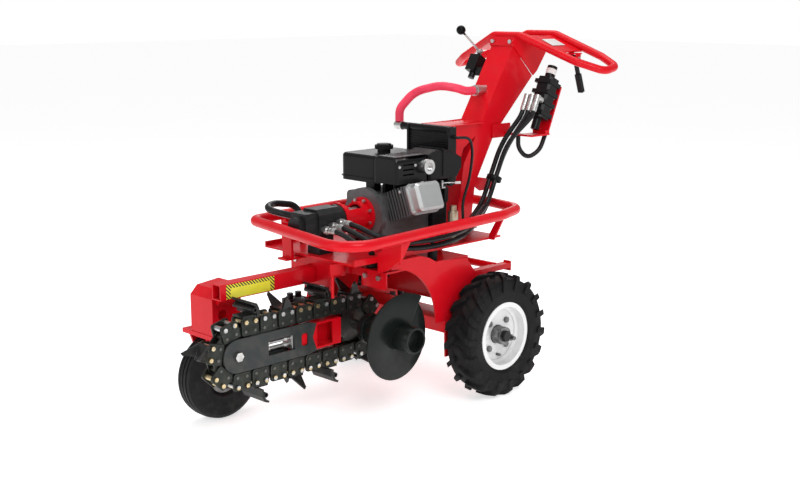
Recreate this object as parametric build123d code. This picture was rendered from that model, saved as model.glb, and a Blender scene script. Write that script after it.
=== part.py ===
from build123d import *
import math
import os

# Walk-behind mini trencher.  Working axes: X runs from the boom nose (-) to the handlebar (+) with
# zero at the rear axle, Y runs across with the auger side negative, Z is height above the ground.
# main() moves the whole machine so that its origin is the ground under the middle of its box.

# ---- driving dimensions, mm -------------------------------------------------------------------
TRACK_OUTER = 720.0          # over the outer faces of the two rear tyres
REAR_TYRE_R = 207.0
REAR_TYRE_W = 116.0
REAR_LUG_H = 13.0
REAR_LUGS = 18               # per side
REAR_RIM_R = 101.6
REAR_RIM_W = 82.0
RIM_FLANGE_H = 13.0
REAR_SHAFT_R = 16.0

FRONT_WHEEL_X = -796.0
FRONT_TYRE_R = 140.0
FRONT_TYRE_W = 75.0
FRONT_WHEEL_Y = 166.0
FRONT_RIM_R = 46.0
FRONT_AXLE_R = 10.0

HEAD_X = -424.0
HEAD_Z = 276.0
CHAIN_Y = -60.0
PITCH = 34.925               # 1.375 inch digging chain
TEETH = 12
RUN_LINKS = 14               # links in each straight run
ROLLER_R = 9.0
CHAIN_PIN_R = 5.0
INNER_GAP = 28.0             # between the inner side bars
INNER_T = 5.0
OUTER_T = 6.0
BAR_IN = 13.0                # side bar depth inside the pins
BAR_OUT = 41.0               # and outside them
CUTTER_W = 100.0
CUTTER_H = 46.0
CUTTER_LINKS = (0, 4, 8, 12, 16, 22, 26, 30, 34)
BOOM_HALF_H = 48.0
BOOM_SWING = 60.0            # degrees down from transport

PIVOT_R = 45.0
PIVOT_Y0, PIVOT_Y1 = -22.0, 150.0
HEAD_SHAFT_R = 16.0
AUGER_R = 142.0
AUGER_HUB_R = 42.0
AUGER_Y0, AUGER_Y1 = -128.0, -345.0
FLIGHT_Y0, FLIGHT_PITCH = -300.0, 62.0
FLIGHT_T = 7.0

CHASSIS_HALF_W = 235.0
CHASSIS_TOP = 474.0
CHASSIS_FRONT = -440.0
CHASSIS_BACK = 60.0
PLATE = 6.0
AUGER_BAY_R = 205.0
REAR_BAR_END = 165.0

DECK_Z = 515.0               # top of the engine deck
DECK_HALF_W = 216.0
DECK_X0, DECK_X1 = -560.0, 120.0
ISOLATORS = ((-416.0, 140.0), (-195.0, 194.0))   # X, and Y on both sides
ISO_R = 16.0

RAIL_Z = 600.0
RAIL_R = 17.0

CRANK_Z = 615.0
PTO_X = -321.0
ENGINE_BACK = -20.0
CRANK_R = 12.5
CYLINDER_LEAN = 20.0          # degrees above level
FAN_R = 98.0                 # fan housing
ADAPTER_L = 116.0
ADAPTER_R = 56.0
PUMP_L = 160.0
PUMP_H = 92.0

MAST_HALF_W = 50.0
MAST_WALL = 4.0
BAR_TUBE_R = 14.0
COOLER_X = 0.0
COOLER_W, COOLER_H, COOLER_T = 196.0, 190.0, 40.0
COOLER_TOP = 884.0

LIFT_Y = 72.0
LIFT_BASE_X, LIFT_BASE_Z = -95.0, 398.0
LIFT_PIN_R = 8.0
LIFT_ARM = 100.0

RAIL_NEAR = [(-706, -331), (-580, -331), (60, -275), (198, -230), (232, -60)]
RAIL_FAR = [(232, 60), (198, 230), (60, 275), (-470, 252), (-592, 236)]

BEAM_Y0, BEAM_Y1 = 0.0, 42.0
BEAM_Z0, BEAM_Z1 = 424.0, 474.0

ARM_Y0, ARM_Y1 = -32.0, -22.0
ARM_FRONT = -603.0
NOSE_PLATE_Y = (-90.0, -36.0)
NOSE_PLATE_T = 6.0
NOSE_BACK = -606.0
WINDOW = (-797.0, -693.0, 23.0)

MAST_FRONT = [(62, DECK_Z), (96, 640), (112, 745), (206, 887), (366, 1141)]
MAST_BACK = [(477, 1033), (270, 835), (172, 668), (150, DECK_Z)]

TANK_X0, TANK_X1 = -290.0, -64.0
TANK_Y0, TANK_Y1 = -36.0, 144.0
TANK_Z0, TANK_Z1 = 716.0, 806.0
CAP_X, CAP_Y = -196.0, 30.0

MUFF_X0, MUFF_X1 = -312.0, -168.0
MUFF_Y0, MUFF_Y1 = -146.0, -40.0
MUFF_Z0, MUFF_Z1 = 726.0, 814.0

AIR_X0, AIR_X1 = -164.0, -4.0
AIR_Y0, AIR_Y1 = -150.0, -42.0
AIR_Z0, AIR_Z1 = 724.0, 822.0

THROTTLE = (-70.0, -118.0, 706.0)
CHOKE = (-144.0, -118.0, 713.0)
SWITCH = (-78.0, -98.0, 655.0)

VALVE_X, VALVE_Y, VALVE_Z = 420.0, -150.0, 960.0
VALVE_H = 150.0
VALVE_LEAN = math.radians(24)
PORT_Z = (-19, 19)            # ports of the drive valve, along its own axis
BOOM_VALVE = (352.0, 112.0, 1072.0)

DRIVE_PIVOT = (548.0, -186.0, 1100.0)

BOOM_LEVER = (372.0, 112.0, 1118.0)
BALL = (300.0, 140.0, 1196.0)

THROTTLE_PIN_R = 4.0
CHOKE_PIN_R = 3.0

RUN_CLEAR = 0.05             # radial clearance of every shaft in its bore
FREE_GAP = 0.3               # gap between faces that move past each other
SEAT_GAP = 0.1               # gap between pieces that are bolted together

PITCH_R = PITCH / (2 * math.sin(math.pi / TEETH))
NOSE_X = HEAD_X - RUN_LINKS * PITCH
REAR_WHEEL_Y = TRACK_OUTER / 2 - REAR_TYRE_W / 2
HUB_Y = REAR_WHEEL_Y - 22.0
PUMP_X = PTO_X - ADAPTER_L
SIDES = (-1, 1)
parts = {}


# ---- helpers ----------------------------------------------------------------------------------
def box(x0, x1, y0, y1, z0, z1):
    return Pos((x0 + x1) / 2, (y0 + y1) / 2, (z0 + z1) / 2) * Box(x1 - x0, y1 - y0, z1 - z0)


def rod_y(x, z, r, y0, y1):
    return Pos(x, (y0 + y1) / 2, z) * Rot(90, 0, 0) * Cylinder(r, abs(y1 - y0))


def rod_x(y, z, r, x0, x1):
    return Pos((x0 + x1) / 2, y, z) * Rot(0, 90, 0) * Cylinder(r, abs(x1 - x0))


def rod_z(x, y, r, z0, z1):
    return Pos(x, y, (z0 + z1) / 2) * Cylinder(r, abs(z1 - z0))


def side_plate(points, y0, y1):
    """A flat plate whose outline is given in X and Z, from y0 to y1."""
    face = make_face(Polyline(*[(x, y0, z) for x, z in points], close=True))
    return extrude(face, amount=abs(y1 - y0), dir=(0, 1 if y1 > y0 else -1, 0))


def cross_plate(points, x0, x1):
    """A flat plate whose outline is given in Y and Z, from x0 to x1."""
    face = make_face(Polyline(*[(x0, y, z) for y, z in points], close=True))
    return extrude(face, amount=abs(x1 - x0), dir=(1 if x1 > x0 else -1, 0, 0))


def tube(points, radii, r, inner=0.0, close=False):
    """A round tube along straight runs joined by arcs."""
    path = FilletPolyline(*points, radius=radii, close=close)
    start = path @ 0
    plane = Plane(origin=start, z_dir=path % 0)
    section = plane * Circle(r)
    if inner:
        section -= plane * Circle(inner)
    return sweep(section, path=path)


def ring_y(x, z, outer, inner, y0, y1):
    return rod_y(x, z, outer, y0, y1) - rod_y(x, z, inner, min(y0, y1) - 1, max(y0, y1) + 1)


def group(shapes):
    solids = []
    for shape in shapes:
        solids += list(shape.solids())
    return Compound(children=solids)


# ---- rear wheels ------------------------------------------------------------------------------
def tyre_section(r_in, r_out, half_w, half_bead, y, lip):
    """A tyre's cross-section, in Y and radius, with upright beads of height lip."""
    mid = (r_in + r_out) / 2 + lip / 3
    crown = half_w * 0.78
    return [
        (y - half_bead, r_in), (y - half_bead, r_in + lip), (y - half_w * 0.93, r_in + lip + (mid - r_in) * 0.2), (y - half_w, mid),
        (y - half_w * 0.97, r_out - 14), (y - crown, r_out - 3), (y - crown * 0.5, r_out),
        (y + crown * 0.5, r_out), (y + crown, r_out - 3), (y + half_w * 0.97, r_out - 14),
        (y + half_w, mid), (y + half_w * 0.93, r_in + lip + (mid - r_in) * 0.2),
        (y + half_bead, r_in + lip), (y + half_bead, r_in),
    ]


def spun(section, x, z):
    """Turns an outline in Y and radius about the axle at x, z."""
    face = make_face(Polyline(*[(x, y, z + r) for y, r in section], close=True))
    return revolve(face, axis=Axis((x, 0, z), (0, 1, 0)))


def rear_tyre(side):
    y = side * REAR_WHEEL_Y
    bead = REAR_RIM_W / 2 - SEAT_GAP
    r_in = REAR_RIM_R + SEAT_GAP
    lip = RIM_FLANGE_H + 1.5
    half = REAR_TYRE_W / 2
    root = REAR_TYRE_R - REAR_LUG_H
    carcass = spun(tyre_section(r_in, root, half - 5, bead, y, lip), 0, REAR_TYRE_R)
    envelope = spun(tyre_section(r_in, REAR_TYRE_R, half, bead, y, lip), 0, REAR_TYRE_R)
    cavity = spun(tyre_section(r_in - 1, root - 12, half - 17, bead - 14, y, lip), 0, REAR_TYRE_R)
    bars = []
    for half in SIDES:
        for k in range(REAR_LUGS):
            turn = 360 / REAR_LUGS * (k + (0.5 if half > 0 else 0))
            bar = Pos(0, half * 31, REAR_TYRE_R - 22) * Rot(0, 0, half * 38) * Box(15, 84, 60)
            bar = bar & (Pos(0, half * 34, REAR_TYRE_R - 22) * Box(90, 62, 60))
            bars.append(Pos(0, y, REAR_TYRE_R) * Rot(0, turn, 0) * bar)
    lugs = Compound(children=[s for b in bars for s in b.solids()]) & envelope
    tyre = carcass
    for lug in lugs.solids():
        tyre = tyre + lug
    return tyre - cavity


def rear_rim(side):
    y = side * REAR_WHEEL_Y
    w = REAR_RIM_W / 2
    t = 3.0
    r = REAR_RIM_R
    flange = r + RIM_FLANGE_H
    hub = y + side * 4
    section = [
        (y - w - t, flange), (y - w, flange), (y - w, r), (y - 14, r), (y - 10, r - 12), (y + 10, r - 12),
        (y + 14, r), (y + w, r), (y + w, flange), (y + w + t, flange), (y + w + t, r - t), (y + 16, r - t),
        (y + 12, r - 12 - t), (hub + t, r - 12 - t), (hub + t, 32), (hub - t, 32), (hub - t, r - 12 - t),
        (y - 12, r - 12 - t), (y - 16, r - t), (y - w - t, r - t),
    ]
    rim = spun(section, 0, REAR_TYRE_R)
    for k in range(4):
        a = math.radians(45 + 90 * k)
        rim -= rod_y(60 * math.cos(a), REAR_TYRE_R + 60 * math.sin(a), 6.2, hub - 10, hub + 10)
    valve_hole = rod_y(0, REAR_TYRE_R - r + 32, 5.0, hub - 10, hub + 10)
    return rim - valve_hole


def rear_hub(side):
    """Drive hub with its flange, four wheel bolts, locking ears and lock pin."""
    hub = side * (REAR_WHEEL_Y + 4)
    s = side
    z = REAR_TYRE_R
    body = rod_y(0, z, 30, hub - s * 38, hub + s * 38)
    flange = rod_y(0, z, 78, hub - s * 3.1, hub - s * 10)
    ears = Pos(0, hub + s * 26, z) * Rot(0, 20, 0) * Box(96, 16, 22)
    pin = Pos(0, hub + s * 26, z) * Rot(0, 20, 0) * Pos(40, 0, 0) * Rot(90, 0, 0) * Cylinder(7, 46)
    body = body + flange + ears + pin
    for k in range(4):
        a = math.radians(45 + 90 * k)
        x, bz = 60 * math.cos(a), z + 60 * math.sin(a)
        body += rod_y(x, bz, 6.0, hub - s * 10, hub + s * 12)
        nut = Pos(x, hub + s * 7.6, bz) * Rot(90, 0, 0) * extrude(RegularPolygon(10.5, 6), 4.5, both=True)
        body += nut
    stem = rod_y(0, z - REAR_RIM_R + 32, 4.5, hub - s * 10, hub + s * 20)
    return body + stem - rod_y(0, z, REAR_SHAFT_R + RUN_CLEAR, hub - s * 60, hub + s * 60)


def wheel_motors():
    """The two hydraulic wheel motors with their output shafts and end nuts."""
    made = []
    for s in SIDES:
        inner = s * (CHASSIS_HALF_W - PLATE - SEAT_GAP)
        hub_in, hub_out = s * (REAR_WHEEL_Y + 4 - 38), s * (REAR_WHEEL_Y + 4 + 38)
        motor = rod_y(0, REAR_TYRE_R, 46, inner, inner - s * 95)
        motor += rod_y(0, REAR_TYRE_R, 30, inner - s * 1, hub_in - s * 4)
        motor += rod_y(0, REAR_TYRE_R, REAR_SHAFT_R, hub_in - s * 5, hub_out + s * 4)
        motor += Pos(0, hub_out + s * 6, REAR_TYRE_R) * Rot(90, 0, 0) * extrude(RegularPolygon(19, 6), 5, both=True)
        for port in (-20, 20):
            motor += rod_z(port, inner - s * 60, 11, REAR_TYRE_R + 38, REAR_TYRE_R + 66)
        made.append(motor)
    return group(made)


# ---- front gauge wheel ------------------------------------------------------------------------
def front_tyre():
    bead = 24.0
    y = FRONT_WHEEL_Y
    r_in = FRONT_RIM_R + SEAT_GAP
    tyre = spun(tyre_section(r_in, FRONT_TYRE_R, FRONT_TYRE_W / 2, bead, y, 10), FRONT_WHEEL_X, FRONT_TYRE_R)
    for offset in (-16, 0, 16):
        tyre -= ring_y(FRONT_WHEEL_X, FRONT_TYRE_R, FRONT_TYRE_R + 2, FRONT_TYRE_R - 5, y + offset - 2.5,
                       y + offset + 2.5)
    cavity = spun(tyre_section(r_in - 1, FRONT_TYRE_R - 20, FRONT_TYRE_W / 2 - 13, bead - 12, y, 10),
                  FRONT_WHEEL_X, FRONT_TYRE_R)
    return tyre - cavity


def front_rim():
    y = FRONT_WHEEL_Y
    r = FRONT_RIM_R
    bore = FRONT_AXLE_R + RUN_CLEAR
    section = [
        (y - 38, bore), (y - 38, 19), (y - 8, 19), (y - 4, r - 4), (y - 28, r - 4), (y - 28, r + 9),
        (y - 24.2, r + 9), (y - 24.2, r), (y + 24.2, r), (y + 24.2, r + 9), (y + 28, r + 9), (y + 28, r - 4),
        (y + 4, r - 4), (y + 8, 19), (y + 38, 19), (y + 38, bore),
    ]
    return spun(section, FRONT_WHEEL_X, FRONT_TYRE_R)


FORK_IN = 38.0 + FREE_GAP


def front_wheel_bracket():
    """Box column over the gauge wheel with its two fork legs."""
    y = FRONT_WHEEL_Y
    near, far = y - FORK_IN - 8, y + FORK_IN + 8
    x0, x1 = FRONT_WHEEL_X - 98, FRONT_WHEEL_X + 10
    top, base = 452.0, 302.0
    outline = [(x0, base), (x0, top - 34), (x0 + 26, top - 8), (x1, top), (x1, base)]
    back = y + 2
    column = side_plate(outline, 56, back)
    inner = side_plate([(x0 + 5, base - 1), (x0 + 5, top - 37), (x0 + 29, top - 14), (x1 - 5, top - 6),
                        (x1 - 5, base - 1)], 61, back - 5)
    shell = column - inner
    shell -= rod_y(x0 + 38, base + 62, 17, 50, 66)
    lip = box(x0 - 2, x1 + 2, 54, far + 2, base - 14, base) - box(x0 + 6, x1 - 6, 62, back - 6, base - 20, base + 1)
    shell += lip
    leg = [(x1 - 92, base - 10), (x1 - 30, base - 10), (FRONT_WHEEL_X + 26, FRONT_TYRE_R),
           (FRONT_WHEEL_X + 14, FRONT_TYRE_R - 22), (FRONT_WHEEL_X - 14, FRONT_TYRE_R - 22),
           (FRONT_WHEEL_X - 26, FRONT_TYRE_R)]
    for a in (near, far - 8):
        shell += side_plate(leg, a, a + 8)
        shell += box(x1 - 92, x1 - 30, a, a + 8, base - 12, base)
    return shell - rod_y(FRONT_WHEEL_X, FRONT_TYRE_R, FRONT_AXLE_R + SEAT_GAP, near - 5, far + 5)


def front_axle():
    y = FRONT_WHEEL_Y
    near, far = y - FORK_IN - 8 - SEAT_GAP, y + FORK_IN + 8 + SEAT_GAP
    axle = rod_y(FRONT_WHEEL_X, FRONT_TYRE_R, FRONT_AXLE_R, near - 6, far + 6)
    for at in (near - 5, far + 5):
        axle += Pos(FRONT_WHEEL_X, at, FRONT_TYRE_R) * Rot(90, 0, 0) * extrude(RegularPolygon(16, 6), 5, both=True)
    return axle


# ---- chassis ----------------------------------------------------------------------------------
def lower_chassis():
    """Welded plate body over the rear axle, with the head collars and the rear bar frame."""
    top = CHASSIS_TOP
    f, b = CHASSIS_FRONT, CHASSIS_BACK
    side = [
        (f, top - 3), (f + 42, top + 31), (f + 150, top + 33), (f + 190, top + 20), (f + 222, top + 2),
        (-205, top + 4), (-72, top - 7), (-45, top - 42), (b, top - 150), (b + 25, REAR_TYRE_R), (b, 148),
        (-172, 148), (-176, 272), (f + 62, 272), (f + 60, top - 38),
    ]
    bay = rod_y(HEAD_X, HEAD_Z, AUGER_BAY_R, -CHASSIS_HALF_W - 1, CHASSIS_HALF_W + 1)
    body = None
    for s in SIDES:
        y0 = s * CHASSIS_HALF_W
        plate = side_plate(side, y0, y0 - s * PLATE)
        plate -= bay if s < 0 else rod_y(HEAD_X, HEAD_Z, 74, y0 - 20, y0 + 20)
        plate -= rod_y(0, REAR_TYRE_R, 30 + SEAT_GAP, y0 - 20, y0 + 20)
        flange = box(f + 40, f + 150, min(y0, y0 - s * 30), max(y0, y0 - s * 30), top + 27, top + 33)
        plate += flange
        body = plate if body is None else body + plate
    half = CHASSIS_HALF_W - PLATE
    body += box(f, -60, -half, half, top - PLATE, top)
    body += box(f, f + PLATE, -half, half, top - 56, top - 1)
    body -= box(f - 1, f + PLATE + 1, CHAIN_Y - CUTTER_W / 2 - 8, CHAIN_Y + CUTTER_W / 2 + 8, top - 60, top - 26)
    body += box(-66, -60, -half, half, 300, top - 1)
    body += box(-176, -60, -half, half, 268, 274)
    body += box(-176, -170, -half, half, 230, 274)
    # head collars, two thick plates that carry the boom pivot tube
    for y0 in (20.0, 120.0):
        collar = side_plate([(HEAD_X - 50, HEAD_Z), (f, top - 66), (f, top - 2), (-300, top - 2),
                             (HEAD_X + 52, HEAD_Z - 20)], y0, y0 + 12)
        collar += rod_y(HEAD_X, HEAD_Z, PIVOT_R + 14, y0, y0 + 12)
        body += collar
        body -= rod_y(HEAD_X, HEAD_Z, PIVOT_R + RUN_CLEAR, y0 - 5, y0 + 17)
    # ears for the lift cylinder
    for y0 in (LIFT_Y - 21, LIFT_Y + 13):
        body += side_plate([(LIFT_BASE_X - 22, top - 3), (-62, top - 3), (-62, LIFT_BASE_Z - 20),
                            (LIFT_BASE_X - 18, LIFT_BASE_Z - 20)], y0, y0 + 8)
    body -= rod_y(LIFT_BASE_X, LIFT_BASE_Z, LIFT_PIN_R + SEAT_GAP, LIFT_Y - 30, LIFT_Y + 30)
    # rear bars and cross tube
    for s in SIDES:
        y0 = s * 228.0
        y1 = s * 198.0
        body += box(-64, REAR_BAR_END, min(y0, y1), max(y0, y1), 396, 414)
        body += box(REAR_BAR_END - PLATE, REAR_BAR_END, min(y0, y1), max(y0, y1), 386, 420)
    body += rod_y(112, 405, 12.7, -200, 200)
    return body


LIFT_EYE = (HEAD_X, HEAD_Z + LIFT_ARM)


def lift_frame():
    """Places pieces drawn along +X from the cylinder's base pin to the crank pin."""
    dx, dz = LIFT_EYE[0] - LIFT_BASE_X, LIFT_EYE[1] - LIFT_BASE_Z
    return Pos(LIFT_BASE_X, LIFT_Y, LIFT_BASE_Z) * Rot(0, -math.degrees(math.atan2(dz, dx)), 0), math.hypot(dx, dz)


def lift_cylinder():
    place, length = lift_frame()
    barrel = Pos(115, 0, 0) * Rot(0, 90, 0) * Cylinder(20, 166)
    barrel += Rot(90, 0, 0) * Cylinder(17, 24)
    barrel += Pos(18, 0, 0) * Box(34, 20, 26)
    for at in (46, 180):
        barrel += Pos(at, 0, 20) * Cylinder(8, 18)
    barrel -= Pos(118, 0, 0) * Rot(0, 90, 0) * Cylinder(9 + RUN_CLEAR, 190)
    barrel -= Rot(90, 0, 0) * Cylinder(LIFT_PIN_R + RUN_CLEAR, 30)
    return place * barrel


def lift_rod():
    place, length = lift_frame()
    rod = Pos((30 + length - 16) / 2, 0, 0) * Rot(0, 90, 0) * Cylinder(9, length - 46)
    rod += Pos(length, 0, 0) * Rot(90, 0, 0) * Cylinder(18, 22)
    rod -= Pos(length, 0, 0) * Rot(90, 0, 0) * Cylinder(LIFT_PIN_R + 4, 30)
    return place * rod


def isolators():
    """Rubber mounts with their studs between the chassis and the engine deck."""
    made = []
    for x, half_y in ISOLATORS:
        for s in SIDES:
            y = s * half_y
            mount = rod_z(x, y, ISO_R, CHASSIS_TOP, DECK_Z - PLATE)
            mount += rod_z(x, y, 6, DECK_Z - PLATE - 1, DECK_Z + 16)
            mount += Pos(x, y, DECK_Z + SEAT_GAP) * extrude(RegularPolygon(10.5, 6), 8)
            made.append(mount)
    return group(made)


def engine_deck():
    """Tray that carries the engine, with side flanges, rail brackets and the mast foot."""
    z = DECK_Z
    w = DECK_HALF_W
    deck = box(DECK_X0, DECK_X1, -w, w, z - PLATE, z)
    for s in SIDES:
        y0, y1 = s * (w - PLATE), s * w
        deck += box(DECK_X0, -210, min(y0, y1), max(y0, y1), z - PLATE, z + 14)
    for x, y in ISOLATORS:
        for s in SIDES:
            deck -= rod_z(x, s * y, 6 + SEAT_GAP, z - 20, z + 20)
    for s in SIDES:
        rail = 320.0 if s < 0 else 252.0
        foot = [(s * (w - 1), z - PLATE), (s * (w - 1), z + 40), (s * (rail - 14), RAIL_Z), (s * rail, RAIL_Z - 14),
                (s * (rail - 4), z + 18), (s * (w + 40), z - 26), (s * (w - 1), z - 40)]
        deck += cross_plate(foot, -462, -456)
        edge = [(-462, z + 2), (-462, RAIL_Z - 14), (-414, RAIL_Z - 14)]
        deck += side_plate(edge, s * (rail - 12), s * (rail - 6))
        back = [(s * (w - 1), z - PLATE), (s * (w - 1), z + 10), (s * 258, RAIL_Z - 2), (s * 276, RAIL_Z - 15),
                (s * (w + 20), z - PLATE)]
        deck += cross_plate(back, 60, 66)
    deck -= rail_ring(RAIL_R + SEAT_GAP)
    deck -= rod_x(-222, 557, 14, -470, -450)
    # tapered rear leg down to the chassis
    for s in SIDES:
        leg = [(-190, z - PLATE + 1), (-60, z - PLATE + 1), (-78, CHASSIS_TOP + SEAT_GAP), (-120, CHASSIS_TOP + SEAT_GAP)]
        y0 = s * 120
        deck += side_plate(leg, y0, y0 + s * PLATE)
    return deck


def rail_ring(r):
    points = [(x, y, RAIL_Z) for x, y in RAIL_NEAR + RAIL_FAR]
    return tube(points, [95, 160, 160, 78, 50, 50, 78, 160, 200, 42], r, close=True)


def guard_rail():
    """Round tube loop that guards the engine and the pump."""
    return rail_ring(RAIL_R)


STOP_Y = CHAIN_Y - CUTTER_W / 2 - 8


def front_bracket():
    """Channel that carries the beam, the front post and the transport stop rod."""
    z = CHASSIS_TOP
    x1 = CHASSIS_FRONT - SEAT_GAP
    channel = box(x1 - 88, x1, -66, 66, z - 4, z + 2)
    channel += box(x1 - PLATE, x1, -66, 66, z - 26, z)
    channel += box(x1 - 88, x1 - 82, -66, 66, z - 58, z + 30)
    channel += box(x1 - 88, x1 - 20, -66, -60, z - 30, z + 30)
    post = box(-592, -582, 44, 88, z + 22, RAIL_Z + 14)
    post += box(-612, x1 - 84, 44, 88, z + 22, z + 28)
    post += box(x1 - 88, x1 - 84, 20, 88, z - 10, z + 28)
    stop = box(x1 - 136, x1 - 82, STOP_Y - 6, STOP_Y, z - 6, z + 30) + box(x1 - 88, x1 - 82, STOP_Y, -60, z - 6, z + 30)
    stop += rod_z(x1 - 123, STOP_Y, 5, HEAD_Z + PITCH_R + BAR_OUT + 12, z + 30)
    return channel + post + stop


def label_beam():
    """Rectangular tube from the chassis front to the gauge wheel's column."""
    x0, x1 = -903.0, CHASSIS_FRONT - 88 - 2 * SEAT_GAP
    beam = box(x0, x1, BEAM_Y0, BEAM_Y1, BEAM_Z0, BEAM_Z1)
    beam -= box(x0 - 1, x1 - 6, BEAM_Y0 + 4, BEAM_Y1 - 4, BEAM_Z0 + 4, BEAM_Z1 - 4)
    tie = box(-880, -800, BEAM_Y1, 56 - SEAT_GAP, BEAM_Z0 - 22, BEAM_Z0 + 20)
    return beam + tie


# ---- boom and digging chain -------------------------------------------------------------------
def chain_pins_xz():
    """Pin centres around the loop, from the head's top forward along the upper run."""
    upper = [(HEAD_X - i * PITCH, HEAD_Z + PITCH_R) for i in range(RUN_LINKS + 1)]
    nose = [(NOSE_X - PITCH_R * math.sin(math.radians(a)), HEAD_Z + PITCH_R * math.cos(math.radians(a)))
            for a in range(30, 180, 30)]
    lower = [(NOSE_X + i * PITCH, HEAD_Z - PITCH_R) for i in range(RUN_LINKS + 1)]
    head = [(HEAD_X + PITCH_R * math.sin(math.radians(a)), HEAD_Z - PITCH_R * math.cos(math.radians(a)))
            for a in range(30, 180, 30)]
    return upper + nose + lower + head


def link_place(k):
    """The middle of link k, turned so that +X runs along the chain and +Z points away from the boom."""
    pins = chain_pins_xz()
    (xa, za), (xb, zb) = pins[k], pins[(k + 1) % len(pins)]
    along = math.degrees(math.atan2(zb - za, xb - xa))
    return Pos((xa + xb) / 2, CHAIN_Y, (za + zb) / 2) * Rot(0, 180 - along, 0)


def side_bar(low, high, end, thick, y):
    """One side bar drawn along X with its two pin holes."""
    w = PITCH + 2 * end
    bar = Pos(0, 0, (high + low) / 2) * Rot(90, 0, 0) * extrude(RectangleRounded(w, high - low, 9), thick / 2, both=True)
    for s in SIDES:
        bar -= Pos(s * PITCH / 2, 0, 0) * Rot(90, 0, 0) * Cylinder(CHAIN_PIN_R + RUN_CLEAR, thick + 2)
    return Pos(0, y, 0) * bar


BOLT_Z = 29.0
OUTER_Y = INNER_GAP / 2 + INNER_T + 0.4


def chain_bars():
    inner_y = INNER_GAP / 2 + INNER_T / 2
    inner = [side_bar(-BAR_IN, 15, 12.5, INNER_T, s * inner_y) for s in SIDES]
    outer = []
    for s in SIDES:
        bar = side_bar(-BAR_IN, BAR_OUT, 13.5, OUTER_T, s * (OUTER_Y + OUTER_T / 2))
        for u in SIDES:
            bar -= Pos(u * PITCH / 2, s * (OUTER_Y + OUTER_T / 2), BOLT_Z) * Rot(90, 0, 0) * Cylinder(4.1, 12)
        outer.append(bar)
    made = []
    for k in range(len(chain_pins_xz())):
        made += [link_place(k) * bar for bar in (outer if k % 2 == 0 else inner)]
    return group(made)


def chain_pins():
    half = OUTER_Y + OUTER_T + 1.5
    made = []
    for x, z in chain_pins_xz():
        pin = rod_y(x, z, CHAIN_PIN_R, CHAIN_Y - half, CHAIN_Y + half)
        made.append(pin + rod_y(x, z, ROLLER_R, CHAIN_Y - INNER_GAP / 2 + 0.4, CHAIN_Y + INNER_GAP / 2 - 0.4))
    return group(made)


def chain_bolts():
    """Bolts through the outer row of each big side bar pair, with spacer sleeves between them."""
    face = OUTER_Y + OUTER_T
    made = []
    for k in range(0, len(chain_pins_xz()), 2):
        for u in SIDES:
            bolt = Rot(90, 0, 0) * Cylinder(4, 2 * face + 2)
            bolt += Rot(90, 0, 0) * Cylinder(8, 2 * OUTER_Y - 0.6)
            for s in SIDES:
                bolt += Pos(0, s * (face + 3.2), 0) * Rot(90, 0, 0) * extrude(RegularPolygon(7.4, 6), 3, both=True)
            made.append(link_place(k) * Pos(u * PITCH / 2, 0, BOLT_Z) * bolt)
    return group(made)


def cup_cutter():
    """Wide blade with a rolled lip, drawn on a link; travel is towards -X."""
    base = Pos(0, 0, BAR_OUT + 3.2) * Box(52, 2 * (OUTER_Y + OUTER_T), 6)
    outline = [(18, 0), (16, 24), (8, CUTTER_H - 6), (-8, CUTTER_H), (-12, CUTTER_H - 5), (0, CUTTER_H - 12),
               (8, 22), (9, 0)]
    face = make_face(Polyline(*[(x, -CUTTER_W / 2, BAR_OUT + 6 + z) for x, z in outline], close=True))
    blade = extrude(face, amount=CUTTER_W, dir=(0, 1, 0))
    roll = Pos(1, 0, BAR_OUT + 26) * Rot(90, 0, 0) * (Cylinder(8, CUTTER_W) - Cylinder(5, CUTTER_W + 2))
    return base + blade + roll


def point_cutter():
    """Pair of splayed pointed teeth on one base."""
    base = Pos(0, 0, BAR_OUT + 3.2) * Box(52, 2 * (OUTER_Y + OUTER_T), 6)
    for s in SIDES:
        tooth = [(22, 0), (-14, CUTTER_H), (-20, CUTTER_H - 6), (-16, 0)]
        y = s * 19.0
        face = make_face(Polyline(*[(x, y, BAR_OUT + 6 + z) for x, z in tooth], close=True))
        blade = extrude(face, amount=7, dir=(0, s, 0))
        base += Pos(0, y, BAR_OUT + 2) * Rot(s * -28, 0, 0) * Pos(0, -y, -BAR_OUT - 2) * blade
    return base


def cutters():
    cup, point = cup_cutter(), point_cutter()
    made = []
    for n, k in enumerate(CUTTER_LINKS):
        made.append(link_place(k) * (point if n % 2 == 0 else cup))
    return group(made)


def boom_bar():
    """Red rear part of the boom: the arm behind the chain and the box between the runs."""
    h = BOOM_HALF_H - 6
    arm = side_plate([(HEAD_X, HEAD_Z + 40), (ARM_FRONT, HEAD_Z + h), (ARM_FRONT, HEAD_Z - h),
                      (HEAD_X, HEAD_Z - 40)], ARM_Y0, ARM_Y1)
    arm += rod_y(HEAD_X, HEAD_Z, PIVOT_R + 6, ARM_Y0, ARM_Y1)
    back = HEAD_X - PITCH_R - 8
    near, far = NOSE_PLATE_Y[0] + NOSE_PLATE_T + SEAT_GAP, NOSE_PLATE_Y[1] - SEAT_GAP
    bar = box(-680, back, near, far, HEAD_Z - h, HEAD_Z + h)
    bar -= box(-681, back - 6, near + PLATE, far - PLATE, HEAD_Z - h + PLATE, HEAD_Z + h - PLATE)
    bar -= box(ARM_FRONT + 4, back - 34, near - 1, near + PLATE + 1, HEAD_Z - h + PLATE, HEAD_Z + h - PLATE)
    bar += box(ARM_FRONT, back, far - 1, ARM_Y0, HEAD_Z - h, HEAD_Z + h)
    return arm + bar - rod_y(HEAD_X, HEAD_Z, HEAD_SHAFT_R + 6, ARM_Y0 - 5, ARM_Y1 + 5)


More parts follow.
